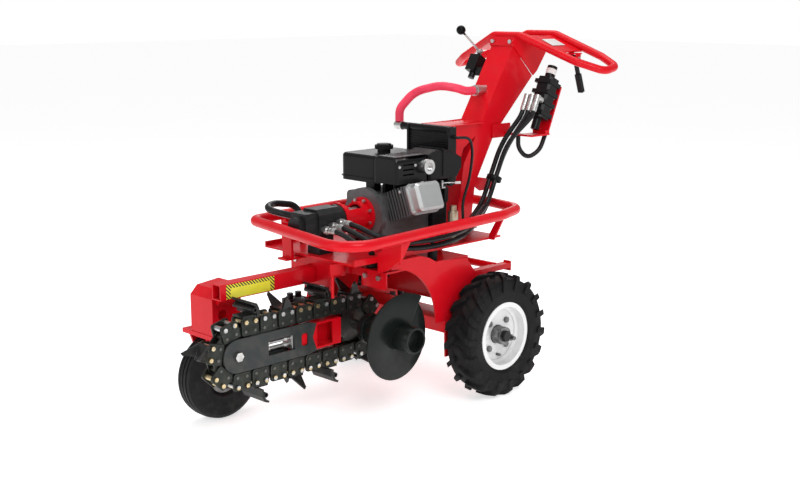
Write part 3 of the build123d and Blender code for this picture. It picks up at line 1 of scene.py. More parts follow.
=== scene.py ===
import math

import bmesh
import bpy
from bpy.props import FloatProperty, FloatVectorProperty, IntProperty, PointerProperty
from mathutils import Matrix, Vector


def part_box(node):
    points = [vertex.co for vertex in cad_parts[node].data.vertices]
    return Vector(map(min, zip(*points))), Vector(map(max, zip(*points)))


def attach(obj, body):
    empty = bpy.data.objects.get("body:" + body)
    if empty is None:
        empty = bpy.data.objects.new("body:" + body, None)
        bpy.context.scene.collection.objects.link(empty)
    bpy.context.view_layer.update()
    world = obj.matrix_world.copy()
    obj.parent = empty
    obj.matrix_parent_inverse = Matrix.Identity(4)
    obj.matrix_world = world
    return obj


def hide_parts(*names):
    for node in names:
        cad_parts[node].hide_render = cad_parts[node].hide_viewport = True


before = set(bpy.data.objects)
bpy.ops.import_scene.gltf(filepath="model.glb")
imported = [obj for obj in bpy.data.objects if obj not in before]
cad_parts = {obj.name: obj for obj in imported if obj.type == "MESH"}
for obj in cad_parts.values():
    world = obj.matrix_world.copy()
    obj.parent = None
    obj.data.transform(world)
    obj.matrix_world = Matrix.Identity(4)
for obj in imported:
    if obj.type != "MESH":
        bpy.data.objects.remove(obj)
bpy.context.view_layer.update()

bl_info = {
    "name": "Mini trencher",
    "version": (1, 0, 0),
    "blender": (4, 5, 0),
    "location": "View3D > Sidebar > Trencher",
    "description": "Finishes and detail pieces of a walk-behind mini trencher",
    "category": "Object",
}


# ---- places read from the frame ---------------------------------------------------------------
def middle(node):
    low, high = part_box(node)
    return (low + high) / 2


AXLE_X = middle("rear_rim_near").x
HEAD = middle("head_shaft")
CRANK = middle("crankshaft")
PITCH = 0.034925             # of the digging chain
CYLINDER_LEAN = math.radians(20)
VALVE_LEAN = math.radians(24)
# places from the middle of the rear axle line, on the ground
PUMP_PORTS = ((-0.471, -0.0741, 0.615), (-0.503, -0.0741, 0.607), (-0.533, -0.0741, 0.599))
VALVE_PORTS = ((0.3455, -0.126, 0.945), (0.3455, -0.150, 0.945), (0.3455, -0.174, 0.945))
VALVE_MIDDLE = (0.420, -0.150, 0.960)
CLIP_MIDDLE = (0.231, -0.087, 0.686)
CYLINDER_X = -0.219
PANEL_MIDDLE = (0.510, -0.118, 1.154)
WING_SLOPE = math.atan2(0.052, 0.123)
HUB_R = 0.042
BOSS_R = 0.050
COVER_RIM = 0.1838           # crankshaft axis to the outer face of the valve cover's rim


def at(x, y, z):
    """A place given from the middle of the rear axle line, on the ground."""
    return Vector((AXLE_X + x, y, z))


# ---- settings ---------------------------------------------------------------------------------
def colour(name, description, default):
    return FloatVectorProperty(name=name, description=description, subtype="COLOR", size=4, min=0, max=1,
                               default=(*default, 1.0))


class TrencherPaint(bpy.types.PropertyGroup):
    red: colour("Powder coat", "Red of the sheet metal", (0.70, 0.003, 0.012))
    red_deep: colour("Deep red", "Red where the coat is thick", (0.52, 0.002, 0.008))
    rim: colour("Rim enamel", "White of the rear wheel rims", (0.86, 0.86, 0.87))
    boom: colour("Boom grey", "Satin coat of the nose plates", (0.030, 0.036, 0.036))
    auger: colour("Auger green black", "Gloss enamel of the spoil auger", (0.006, 0.009, 0.008))
    hazard: colour("Sign yellow", "Ground of the hazard sign", (0.88, 0.80, 0.05))
    suction: colour("Suction hose", "Rose red of the suction hose", (0.74, 0.05, 0.10))
    coat_roughness: FloatProperty(name="Coat roughness", description="Gloss of the clear layer", default=0.09,
                                  min=0, max=1, subtype="FACTOR")


class TrencherSizes(bpy.types.PropertyGroup):
    flight_radius: FloatProperty(name="Flight radius", description="Outer radius of the auger flight",
                                 default=0.142, unit="LENGTH")
    flight_pitch: FloatProperty(name="Flight pitch", description="Advance of the flight in one turn",
                                default=0.062, unit="LENGTH")
    flight_plate: FloatProperty(name="Flight plate", description="Thickness of the flight", default=0.007,
                                unit="LENGTH")
    flight_steps: IntProperty(name="Flight steps", description="Divisions of one turn", default=120, min=24)
    soft_edge: FloatProperty(name="Soft edge", description="Radius of worn sheet edges", default=0.0012,
                             unit="LENGTH")
    lens: FloatProperty(name="Lens", description="Focal length on a 36 mm sensor, in mm", default=54.0)


# ---- shader groups ----------------------------------------------------------------------------
def new_group(name, inputs, outputs):
    tree = bpy.data.node_groups.new(name, "ShaderNodeTree")
    for label, value in inputs:
        socket = tree.interface.new_socket(label, in_out="INPUT", socket_type="NodeSocketFloat")
        socket.default_value = value
    for label, kind in outputs:
        tree.interface.new_socket(label, in_out="OUTPUT", socket_type=kind)
    return tree, tree.nodes.new("NodeGroupInput"), tree.nodes.new("NodeGroupOutput")


def put(tree, kind, values=None, **attributes):
    """Adds a node, sets its attributes, then its inputs by number or name, linking any socket given."""
    node = tree.nodes.new(kind)
    for key, value in attributes.items():
        setattr(node, key, value)
    for key, value in (values or {}).items():
        if isinstance(value, bpy.types.NodeSocket):
            tree.links.new(value, node.inputs[key])
        else:
            node.inputs[key].default_value = value
    return node


def math_node(tree, operation, a, b=0.0, clamp=False):
    return put(tree, "ShaderNodeMath", {0: a, 1: b}, operation=operation, use_clamp=clamp).outputs[0]


def span(tree, value, low, high):
    """Brings low..high of a value to 0..1, held at both ends."""
    return put(tree, "ShaderNodeMapRange", {"Value": value, "From Min": low, "From Max": high}).outputs[0]


def object_point(tree):
    return tree.nodes.new("ShaderNodeTexCoord").outputs["Object"]


def build_edge_wear():
    """Rounded normal for the sheet edges, and a patchy mask along them."""
    tree, take, give = new_group("Edge wear", [("Radius", 0.0012), ("Patch scale", 40.0), ("Reach", 0.5)],
                                 [("Mask", "NodeSocketFloat"), ("Normal", "NodeSocketVector")])
    bevel = put(tree, "ShaderNodeBevel", {"Radius": take.outputs["Radius"]}, samples=4)
    flat = tree.nodes.new("ShaderNodeNewGeometry").outputs["Normal"]
    same = put(tree, "ShaderNodeVectorMath", {0: bevel.outputs[0], 1: flat}, operation="DOT_PRODUCT")
    same = same.outputs["Value"]
    edge = span(tree, math_node(tree, "SUBTRACT", 1.0, same), 0.01, 0.12)
    patch = put(tree, "ShaderNodeTexNoise", {"Vector": object_point(tree), "Scale": take.outputs["Patch scale"],
                                             "Detail": 4.0}).outputs[0]
    reach = math_node(tree, "SUBTRACT", take.outputs["Reach"], 0.5)
    worn = span(tree, math_node(tree, "ADD", patch, reach), 0.5, 0.6)
    tree.links.new(math_node(tree, "MULTIPLY", edge, worn), give.inputs["Mask"])
    tree.links.new(bevel.outputs[0], give.inputs["Normal"])
    return tree


def build_grain():
    """Fine and coarse noise, each from 0 to 1."""
    tree, take, give = new_group("Grain", [("Fine scale", 800.0), ("Coarse scale", 12.0)],
                                 [("Fine", "NodeSocketFloat"), ("Coarse", "NodeSocketFloat")])
    point = object_point(tree)
    for label, source, detail in (("Fine", "Fine scale", 2.0), ("Coarse", "Coarse scale", 5.0)):
        noise = put(tree, "ShaderNodeTexNoise", {"Vector": point, "Scale": take.outputs[source], "Detail": detail})
        tree.links.new(span(tree, noise.outputs[0], 0.3, 0.7), give.inputs[label])
    return tree


def build_dust():
    """Mask of dust that lies on faces turned up and low on the machine."""
    tree, take, give = new_group("Settled dust", [("Amount", 0.3), ("Top height", 0.5)],
                                 [("Mask", "NodeSocketFloat")])
    normal = tree.nodes.new("ShaderNodeNewGeometry").outputs["Normal"]
    up = put(tree, "ShaderNodeSeparateXYZ", {0: normal}).outputs[2]
    point = object_point(tree)
    height = put(tree, "ShaderNodeSeparateXYZ", {0: point}).outputs[2]
    share = math_node(tree, "DIVIDE", height, take.outputs["Top height"])
    low = math_node(tree, "SUBTRACT", 1.0, share, clamp=True)
    spots = put(tree, "ShaderNodeTexNoise", {"Vector": point, "Scale": 30.0, "Detail": 6.0}).outputs[0]
    lies = math_node(tree, "ADD", span(tree, up, 0.3, 1.0), low)
    both = math_node(tree, "MULTIPLY", span(tree, spots, 0.42, 0.68), lies)
    tree.links.new(math_node(tree, "MULTIPLY", both, take.outputs["Amount"], clamp=True), give.inputs["Mask"])
    return tree


class Finish:
    """One material under construction: its tree, its Principled shader and the shared groups in it."""

    groups = {}

    def __init__(self, name, rough, metallic=0.0, coat=0.0, coat_rough=0.1, specular=0.13):
        self.material = bpy.data.materials.new(name)
        self.material.use_nodes = True
        self.tree = self.material.node_tree
        self.shader = self.tree.nodes["Principled BSDF"]
        self.shader.inputs["Metallic"].default_value = metallic
        self.shader.inputs["Coat Weight"].default_value = coat
        self.shader.inputs["Coat Roughness"].default_value = coat_rough
        self.shader.inputs["Specular IOR Level"].default_value = specular

    def group(self, name, **values):
        node = self.tree.nodes.new("ShaderNodeGroup")
        node.node_tree = Finish.groups[name]
        for key, value in values.items():
            node.inputs[key.replace("_", " ").capitalize()].default_value = value
        return node.outputs

    def mix(self, mask, a, b):
        node = put(self.tree, "ShaderNodeMix", {0: mask}, data_type="RGBA")
        for index, value in ((6, a), (7, b)):
            if isinstance(value, bpy.types.NodeSocket):
                self.tree.links.new(value, node.inputs[index])
            else:
                node.inputs[index].default_value = (*value[:3], 1.0)
        return node.outputs[2]

    def times(self, mask, amount):
        return math_node(self.tree, "MULTIPLY", mask, amount)

    def roughness(self, mask, low, high):
        node = put(self.tree, "ShaderNodeMapRange", {"Value": mask, "To Min": low, "To Max": high})
        self.tree.links.new(node.outputs[0], self.shader.inputs["Roughness"])

    def bump(self, height, strength, distance, normal=None):
        node = put(self.tree, "ShaderNodeBump", {"Height": height, "Strength": strength, "Distance": distance})
        if normal is not None:
            self.tree.links.new(normal, node.inputs["Normal"])
        return node.outputs[0]

    def done(self, base, normal):
        self.tree.links.new(base, self.shader.inputs["Base Color"])
        self.tree.links.new(normal, self.shader.inputs["Normal"])
        return self.material


def coated(name, base, deep, rough, coat, grain=(900.0, 0.035), dust=0.12, edge=None, metallic=0.0, patchy=0.35,
           radius=0.0012, reach=0.34, dust_colour=(0.33, 0.27, 0.21), top=0.5, coat_rough=0.08):
    """Sheet metal finish: two tones, fine peel, worn edges and a little dust low down."""
    f = Finish(name, rough, metallic=metallic, coat=coat, coat_rough=coat_rough)
    noise = f.group("Grain", fine_scale=grain[0], coarse_scale=14.0)
    wear = f.group("Edge wear", radius=radius, reach=reach)
    film = f.group("Settled dust", amount=dust, top_height=top)
    tone = f.mix(f.times(noise["Coarse"], patchy), base, deep)
    tone = f.mix(f.times(wear["Mask"], 0.6), tone, edge or [min(1.0, v * 1.5 + 0.02) for v in base[:3]])
    tone = f.mix(film["Mask"], tone, dust_colour)
    dull = math_node(f.tree, "ADD", f.times(noise["Coarse"], 0.5), film["Mask"], clamp=True)
    f.roughness(dull, rough, rough + 0.16)
    return f.done(tone, f.bump(noise["Fine"], grain[1], 0.0004, wear["Normal"]))


def bare_metal(name, base, deep, rough, grain=(600.0, 0.06), stain=0.5, edge=(0.8, 0.8, 0.78), dust=0.1,
               radius=0.0010, metallic=1.0, reach=0.4):
    """Metal without paint: stains in the hollows, bright worn edges."""
    f = Finish(name, rough, metallic=metallic)
    noise = f.group("Grain", fine_scale=grain[0], coarse_scale=36.0)
    wear = f.group("Edge wear", radius=radius, reach=reach, patch_scale=70.0)
    film = f.group("Settled dust", amount=dust, top_height=0.45)
    tone = f.mix(f.times(noise["Coarse"], stain), base, deep)
    tone = f.mix(wear["Mask"], tone, edge)
    tone = f.mix(film["Mask"], tone, (0.25, 0.21, 0.16))
    f.roughness(noise["Coarse"], rough, rough + 0.2)
    return f.done(tone, f.bump(noise["Fine"], grain[1], 0.0005, wear["Normal"]))


def moulded(name, base, rough, grain=(1400.0, 0.15), dust=0.12, pale=0.035, radius=0.0015, coarse=20.0, coat=0.0):
    """Plastic and rubber: leather-like grain, softened edges, pale dust."""
    f = Finish(name, rough, coat=coat, coat_rough=0.15)
    noise = f.group("Grain", fine_scale=grain[0], coarse_scale=coarse)
    wear = f.group("Edge wear", radius=radius, reach=0.42)
    film = f.group("Settled dust", amount=dust, top_height=0.4)
    light = [v + pale for v in base[:3]]
    tone = f.mix(f.times(noise["Coarse"], 0.4), base, light)
    tone = f.mix(f.times(wear["Mask"], 0.5), tone, light)
    tone = f.mix(film["Mask"], tone, (0.22, 0.20, 0.17))
    f.roughness(noise["Coarse"], rough, min(1.0, rough + 0.15))
    return f.done(tone, f.bump(noise["Fine"], grain[1], 0.0006, wear["Normal"]))


def snapped_bolts(name):
    """Chain bolts, part zinc and part yellow chromate, chosen bolt by bolt along the pitch."""
    f = Finish(name, 0.3, metallic=1.0)
    noise = f.group("Grain", fine_scale=500.0, coarse_scale=90.0)
    wear = f.group("Edge wear", radius=0.0008, reach=0.5)
    cell = put(f.tree, "ShaderNodeVectorMath", {0: object_point(f.tree), 1: (PITCH, 0.5, 0.06)}, operation="SNAP")
    pick = put(f.tree, "ShaderNodeTexWhiteNoise", {"Vector": cell.outputs[0]}, noise_dimensions="3D")
    chosen = span(f.tree, pick.outputs["Value"], 0.45, 0.55)
    tone = f.mix(chosen, (0.72, 0.58, 0.34), (0.66, 0.68, 0.70))
    tone = f.mix(f.times(noise["Coarse"], 0.45), tone, (0.16, 0.13, 0.09))
    f.roughness(noise["Coarse"], 0.22, 0.5)
    return f.done(tone, f.bump(noise["Fine"], 0.05, 0.0004, wear["Normal"]))


def hose_skin(name, base, rough, rib):
    """Smooth rubber hose with a faint wrapped pattern along its length."""
    f = Finish(name, rough, coat=0.12, coat_rough=0.16)
    noise = f.group("Grain", fine_scale=900.0, coarse_scale=18.0)
    wave = put(f.tree, "ShaderNodeTexWave", {"Vector": object_point(f.tree), "Scale": rib, "Distortion": 1.5,
                                             "Detail": 1.0}, bands_direction="DIAGONAL").outputs["Fac"]
    tone = f.mix(f.times(noise["Coarse"], 0.4), base, [v * 1.7 + 0.01 for v in base[:3]])
    f.roughness(noise["Coarse"], rough, rough + 0.18)
    height = math_node(f.tree, "ADD", f.times(wave, 0.5), noise["Fine"])
    return f.done(tone, f.bump(height, 0.08, 0.0004))


def lever_finish(name, steel, ball):
    """Plated stick below, black ball above the height where the ball begins."""
    f = Finish(name, 0.25, metallic=0.6)
    noise = f.group("Grain", fine_scale=700.0, coarse_scale=40.0)
    height = put(f.tree, "ShaderNodeSeparateXYZ", {0: object_point(f.tree)}).outputs[2]
    top = math_node(f.tree, "GREATER_THAN", height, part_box("boom_lever")[1].z - 0.034)
    tone = f.mix(f.times(noise["Coarse"], 0.4), steel, [v * 0.6 for v in steel])
    tone = f.mix(top, tone, ball)
    f.roughness(noise["Coarse"], 0.22, 0.4)
    return f.done(tone, f.bump(noise["Fine"], 0.04, 0.0003))


def hazard_face(name, yellow):
    """Yellow label with black slanted bars along its top and at both ends, drawn in X and Z."""
    f = Finish(name, 0.3, coat=0.2, coat_rough=0.12)
    axes = put(f.tree, "ShaderNodeSeparateXYZ", {0: object_point(f.tree)}).outputs
    slant = math_node(f.tree, "ADD", axes[0], axes[2])
    repeat = math_node(f.tree, "FRACT", math_node(f.tree, "MULTIPLY", slant, 90.0))
    bars = math_node(f.tree, "GREATER_THAN", repeat, 0.5)
    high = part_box("label_beam")[1]
    sign_low, sign_high = sign_span()
    top = math_node(f.tree, "GREATER_THAN", axes[2], high.z - 0.015)
    left = math_node(f.tree, "LESS_THAN", axes[0], sign_low + 0.016)
    right = math_node(f.tree, "GREATER_THAN", axes[0], sign_high - 0.016)
    edge = math_node(f.tree, "ADD", math_node(f.tree, "ADD", top, left), right, clamp=True)
    noise = f.group("Grain", fine_scale=700.0, coarse_scale=30.0)
    tone = f.mix(f.times(noise["Coarse"], 0.25), yellow, (0.62, 0.55, 0.05))
    tone = f.mix(math_node(f.tree, "MULTIPLY", bars, edge), tone, (0.02, 0.02, 0.02))
    f.roughness(noise["Coarse"], 0.25, 0.45)
    return f.done(tone, f.bump(noise["Fine"], 0.03, 0.0003))


FINISHES = {}
NODE_FINISH = {
    "red_paint": ("lower_chassis", "engine_deck", "guard_rail", "front_bracket", "label_beam",
                  "front_wheel_bracket", "boom_bar", "boom_pivot_tube", "mast", "handlebar", "pump_adapter",
                  "valve_bracket"),
    "tyre_tread": ("rear_tyre_near", "rear_tyre_far"),
    "tyre_smooth": ("front_tyre",),
    "rim_white": ("rear_rim_near", "rear_rim_far"),
    "hub_steel": ("rear_hub_near", "rear_hub_far", "front_rim"),
    "zinc": ("front_axle", "fasteners", "boom_tensioner", "hose_fittings", "throttle_lever", "choke_lever",
             "lift_rod", "exhaust_outlet", "crankshaft", "wear_strips"),
    "chain_plate": ("chain_bars",),
    "chain_pin": ("chain_pins", "head_shaft", "drive_sprocket", "nose_idler"),
    "chain_bolt": ("chain_bolts",),
    "cutter_steel": ("cutters",),
    "boom_grey": ("nose_plates",),
    "auger_enamel": ("auger",),
    "black_enamel": ("fuel_tank", "lift_cylinder", "oil_cooler", "muffler_cover", "drive_lever"),
    "lever_steel": ("boom_lever",),
    "black_plastic": ("air_cleaner", "fuel_cap", "recoil_cover", "starter_grip", "engine_switch"),
    "cast_dark": ("hydraulic_pump", "dig_motor", "wheel_motors"),
    "cast_grey": ("engine_block",),
    "cast_silver": ("valve_cover",),
    "filter_brass": ("oil_filter",),
    "valve_black": ("control_valves",),
    "hose_black": ("hydraulic_hoses",),
    "hose_red": ("suction_hose",),
    "mount_rubber": ("isolators",),
}


# ---- modelling helpers ------------------------------------------------------------------------
def deselect():
    if bpy.context.object and bpy.context.object.mode != "OBJECT":
        bpy.ops.object.mode_set(mode="OBJECT")
    bpy.ops.object.select_all(action="DESELECT")


def active(obj):
    deselect()
    obj.select_set(True)
    bpy.context.view_layer.objects.active = obj
    return obj


def added(name):
    obj = bpy.context.object
    obj.name = name
    obj.data.name = name
    return obj


def settle(obj):
    """Applies place, turn and size, so that the piece's place is in its mesh."""
    active(obj)
    bpy.ops.object.transform_apply(location=True, rotation=True, scale=True)
    return obj


def apply_modifier(obj, kind, **settings):
    active(obj)
    modifier = obj.modifiers.new(kind.title(), kind)
    for key, value in settings.items():
        setattr(modifier, key, value)
    bpy.ops.object.modifier_apply(modifier=modifier.name)


def shade(obj, angle=35):
    active(obj)
    bpy.ops.object.shade_smooth_by_angle(angle=math.radians(angle))


def recalculated(obj):
    active(obj)
    bpy.ops.object.mode_set(mode="EDIT")
    bpy.ops.mesh.select_all(action="SELECT")
    bpy.ops.mesh.remove_doubles(threshold=0.00002)
    bpy.ops.mesh.normals_make_consistent(inside=False)
    bpy.ops.object.mode_set(mode="OBJECT")


def choose_faces(obj, test):
    """Selects the faces whose centre and normal pass the test, and leaves the piece in edit mode."""
    active(obj)
    bpy.ops.object.mode_set(mode="EDIT")
    bpy.ops.mesh.select_mode(type="FACE")
    bpy.ops.mesh.select_all(action="DESELECT")
    mesh = bmesh.from_edit_mesh(obj.data)
    for face in mesh.faces:
        face.select_set(test(face.calc_center_median(), face.normal))
    bmesh.update_edit_mesh(obj.data)


def block(name, low, high, round_by=0.0, segments=3):
    deselect()
    low, high = Vector(low), Vector(high)
    bpy.ops.mesh.primitive_cube_add(size=1, location=(low + high) / 2)
    obj = added(name)
    obj.scale = high - low
    settle(obj)
    if round_by:
        apply_modifier(obj, "BEVEL", width=round_by, segments=segments, limit_method="ANGLE")
    return obj


def drum(name, at, radius, depth, axis=(0, 0, 1), sides=48, round_by=0.0):
    deselect()
    turn = Vector(axis).to_track_quat("Z", "Y").to_euler()
    bpy.ops.mesh.primitive_cylinder_add(vertices=sides, radius=radius, depth=depth, location=at, rotation=turn)
    obj = settle(added(name))
    if round_by:
        apply_modifier(obj, "BEVEL", width=round_by, segments=2, limit_method="ANGLE")
    return obj


def merged(name, parts):
    active(parts[0])
    for part in parts:
        part.select_set(True)
    if len(parts) > 1:
        bpy.ops.object.join()
    return added(name)


def finished(obj, finish, body, angle=35):
    obj.data.materials.clear()
    obj.data.materials.append(FINISHES[finish])
    shade(obj, angle)
    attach(obj, body)
    return obj


def sign_span():
    """Low and high X of the hazard sign on the beam."""
    return AXLE_X - 0.882, AXLE_X - 0.699


# ---- operators --------------------------------------------------------------------------------
class TRENCHER_OT_finishes(bpy.types.Operator):
    """Builds every finish and puts it on the frame's parts"""
    bl_idname = "trencher.finishes"
    bl_label = "Finishes"

    def execute(self, context):
        paint = context.scene.trencher_paint
        Finish.groups["Edge wear"] = build_edge_wear()
        Finish.groups["Grain"] = build_grain()
        Finish.groups["Settled dust"] = build_dust()
        rough = paint.coat_roughness
        FINISHES.update({
            "red_paint": coated("Red powder coat", paint.red, paint.red_deep, 0.32, 0.16, coat_rough=rough,
                                edge=(0.9, 0.08, 0.1), dust=0.05),
            "rim_white": coated("White rim enamel", paint.rim, (0.7, 0.7, 0.69), 0.25, 0.5, dust=0.12, top=0.4),
            "boom_grey": coated("Boom grey satin", paint.boom, (0.035, 0.04, 0.04), 0.38, 0.2, dust=0.15,
                                edge=(0.3, 0.31, 0.3)),
            "auger_enamel": coated("Auger enamel", paint.auger, (0.006, 0.008, 0.007), 0.3, 0.1, dust=0.03,
                                   edge=(0.16, 0.17, 0.16), grain=(300.0, 0.05)),
            "black_enamel": coated("Black enamel", (0.006, 0.006, 0.007), (0.012, 0.012, 0.013), 0.28, 0.1,
                                   dust=0.02, edge=(0.06, 0.06, 0.06)),
            "lever_steel": lever_finish("Boom lever", (0.6, 0.6, 0.6), (0.008, 0.008, 0.008)),
            "band_white": moulded("White sleeve", (0.78, 0.78, 0.76), 0.4, dust=0.02, pale=0.05),
            "panel_pale": moulded("Pale panel", (0.66, 0.66, 0.64), 0.35, dust=0.02, pale=0.05),
            "valve_black": coated("Valve body black", (0.007, 0.007, 0.008), (0.014, 0.014, 0.014), 0.34, 0.12,
                                  dust=0.02, edge=(0.35, 0.35, 0.35), grain=(420.0, 0.2)),
            "hazard": hazard_face("Hazard sign", paint.hazard),
            "hub_steel": bare_metal("Hub steel", (0.22, 0.22, 0.22), (0.06, 0.06, 0.06), 0.35),
            "zinc": bare_metal("Zinc plate", (0.68, 0.68, 0.68), (0.36, 0.35, 0.33), 0.24, stain=0.6, dust=0.05),
            "chain_plate": bare_metal("Chain side plate", (0.045, 0.050, 0.045), (0.018, 0.020, 0.018), 0.36,
                                      edge=(0.4, 0.4, 0.36), metallic=0.75, dust=0.1),
            "chain_pin": bare_metal("Chain pin steel", (0.14, 0.14, 0.13), (0.05, 0.05, 0.045), 0.34,
                                    edge=(0.5, 0.5, 0.48)),
            "chain_bolt": snapped_bolts("Chain bolt plate"),
            "cutter_steel": coated("Cutter enamel", (0.010, 0.011, 0.011), (0.03, 0.03, 0.03), 0.32, 0.2,
                                   dust=0.08, edge=(0.45, 0.45, 0.43), reach=0.5),
            "cast_dark": coated("Dark casting", (0.022, 0.023, 0.025), (0.010, 0.010, 0.011), 0.42, 0.1,
                                grain=(260.0, 0.5), edge=(0.25, 0.25, 0.25), dust=0.05, metallic=0.3),
            "cast_grey": coated("Grey casting", (0.17, 0.175, 0.18), (0.045, 0.045, 0.05), 0.36, 0.1,
                                grain=(260.0, 0.5), edge=(0.5, 0.5, 0.5), dust=0.06, metallic=0.5),
            "cast_silver": coated("Silver casting", (0.62, 0.64, 0.64), (0.40, 0.42, 0.42), 0.34, 0.1,
                                  grain=(320.0, 0.35), edge=(0.75, 0.75, 0.75), dust=0.04, metallic=0.7),
            "filter_brass": bare_metal("Filter plate", (0.62, 0.57, 0.42), (0.4, 0.36, 0.26), 0.26, stain=0.4),
            "black_plastic": moulded("Black moulding", (0.007, 0.007, 0.008), 0.42, dust=0.015, pale=0.008,
                                     coat=0.04),
            "tyre_tread": moulded("Tyre tread rubber", (0.007, 0.007, 0.008), 0.62, grain=(700.0, 0.25),
                                  dust=0.07, pale=0.015),
            "tyre_smooth": moulded("Tyre smooth rubber", (0.008, 0.008, 0.009), 0.46, grain=(900.0, 0.2),
                                   dust=0.08, pale=0.015),
            "mount_rubber": moulded("Mount rubber", (0.012, 0.012, 0.012), 0.5, dust=0.03, pale=0.02),
            "hose_black": hose_skin("Black hose", (0.010, 0.010, 0.011), 0.2, 160.0),
            "hose_red": hose_skin("Red hose", paint.suction, 0.3, 130.0),
        })
        for finish, nodes in NODE_FINISH.items():
            for node in nodes:
                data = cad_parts[node].data
                data.materials.clear()
                data.materials.append(FINISHES[finish])
        return {"FINISHED"}


class TRENCHER_OT_auger(bpy.types.Operator):
    """Models the spoil auger: hub tube, cap and one smooth turn of flight"""
    bl_idname = "trencher.auger"
    bl_label = "Auger"

    def execute(self, context):
        sizes = context.scene.trencher_sizes
        low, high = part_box("auger")
        centre = Vector((HEAD.x, 0, HEAD.z))
        deselect()
        inner = HUB_R - 0.002
        outer = sizes.flight_radius - 0.0005
        bpy.ops.mesh.primitive_plane_add(size=1, location=(0, 0, 0))
        flight = added("auger_flight")
        flight.scale = (outer - inner, sizes.flight_plate, 1)
        flight.location = ((outer + inner) / 2, sizes.flight_plate / 2, 0)
        settle(flight)
        active(flight)
        bpy.ops.object.mode_set(mode="EDIT")
        bpy.ops.mesh.select_all(action="SELECT")
        bpy.ops.mesh.delete(type="ONLY_FACE")
        bpy.ops.object.mode_set(mode="OBJECT")
        apply_modifier(flight, "SCREW", axis="Y", angle=-2 * math.pi, screw_offset=sizes.flight_pitch,
                       steps=sizes.flight_steps, render_steps=sizes.flight_steps, use_merge_vertices=False)
        active(flight)
        bpy.ops.object.mode_set(mode="EDIT")
        bpy.ops.mesh.select_all(action="SELECT")
        bpy.ops.mesh.fill_holes(sides=4)
        bpy.ops.object.mode_set(mode="OBJECT")
        recalculated(flight)
        flight.rotation_euler = (0, math.radians(-60), 0)
        flight.location = (centre.x, low.y + 0.045, centre.z)
        settle(flight)
        apply_modifier(flight, "BEVEL", width=0.0012, segments=2, limit_method="ANGLE")
        hub = drum("auger_hub", (centre.x, (low.y + high.y) / 2, centre.z), HUB_R, high.y - low.y, axis=(0, 1, 0),
                   sides=96)
        choose_faces(hub, lambda c, n: n.y < -0.9)
        bpy.ops.mesh.inset(thickness=0.0075)
        bpy.ops.mesh.extrude_region_move(TRANSFORM_OT_translate={"value": (0, 0.03, 0)})
        bpy.ops.object.mode_set(mode="OBJECT")
        apply_modifier(hub, "BEVEL", width=0.0012, segments=2, limit_method="ANGLE")
        boss = drum("auger_boss", (centre.x, high.y - 0.014, centre.z), BOSS_R, 0.026, axis=(0, 1, 0),
                    round_by=0.003)
        auger = merged("auger_detail", [flight, hub, boss])
        finished(auger, "auger_enamel", "digging_head")
        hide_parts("auger")
        return {"FINISHED"}


class TRENCHER_OT_hazard_sign(bpy.types.Operator):
    """Models the hazard sign on the beam's near face"""
    bl_idname = "trencher.hazard_sign"
    bl_label = "Hazard sign"

    def execute(self, context):
        low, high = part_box("label_beam")
        x0, x1 = sign_span()
        front, back = low.y - 0.0012, low.y - 0.0002
        sign = block("hazard_sign", (x0, front, high.z - 0.047), (x1, back, high.z - 0.003), 0.0004)
        finished(sign, "hazard", "frame")
        return {"FINISHED"}


def hexagon_head(name, place, axis, radius, height):
    """Bolt head with a washer face and softened corners."""
    axis = Vector(axis).normalized()
    head = drum(name, place + axis * height / 2, radius, height, axis=axis, sides=6, round_by=radius * 0.12)
    washer = drum(name + "_washer", place + axis * 0.0006, radius * 1.25, 0.0012, axis=axis, sides=32)
    return merged(name, [head, washer])


class TRENCHER_OT_engine_bolts(bpy.types.Operator):
    """Adds the flange bolts of the valve cover and the screws of the muffler guard"""
    bl_idname = "trencher.engine_bolts"
    bl_label = "Engine bolts"

    def execute(self, context):
        out = Vector((0, -math.cos(CYLINDER_LEAN), math.sin(CYLINDER_LEAN)))
        up = Vector((0, math.sin(CYLINDER_LEAN), math.cos(CYLINDER_LEAN)))
        root = at(CYLINDER_X, 0, CRANK.z) + out * COVER_RIM
        heads = [hexagon_head("cover_bolt", root + Vector((x, 0, 0)) + up * z, out, 0.0055, 0.006)
                 for x in (-0.053, 0.053) for z in (-0.042, 0.042)]
        finished(merged("cover_bolts", heads), "zinc", "frame")
        low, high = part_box("muffler_cover")
        screws = [hexagon_head("guard_screw", Vector((x, low.y, z)), (0, -1, 0), 0.0042, 0.0035)
                  for x in (low.x + 0.014, high.x - 0.058) for z in (low.z + 0.016, high.z - 0.032)]
        finished(merged("guard_screws", screws), "zinc", "frame")
        return {"FINISHED"}


class TRENCHER_OT_hose_clip(bpy.types.Operator):
    """Adds the strap that holds the three hoses together beside the mast"""
    bl_idname = "trencher.hose_clip"
    bl_label = "Hose clip"

    def execute(self, context):
        along = Vector((-0.098, -0.002, -0.196))
        deselect()
        turn = along.to_track_quat("Z", "Y").to_euler()
        bpy.ops.mesh.primitive_cylinder_add(vertices=64, radius=0.0262, depth=0.016, end_fill_type="NOTHING",
                                            location=at(*CLIP_MIDDLE), rotation=turn)
        strap = settle(added("hose_clip"))
        recalculated(strap)
        apply_modifier(strap, "SOLIDIFY", thickness=0.002, offset=0.0)
        apply_modifier(strap, "BEVEL", width=0.0005, segments=2, limit_method="ANGLE")
        finished(strap, "black_plastic", "frame")
        return {"FINISHED"}


def crimped_collar(name, place, axis, radius, length):
    """Crimped hose end: four short bands, every other one a little narrower."""
    axis = Vector(axis).normalized()
    band = length / 4
    rings = [drum(name, place + axis * band * (n + 0.5), radius - 0.0007 * (n % 2), band, axis=axis, sides=40,
                  round_by=0.0004) for n in range(4)]
    return merged(name, rings)


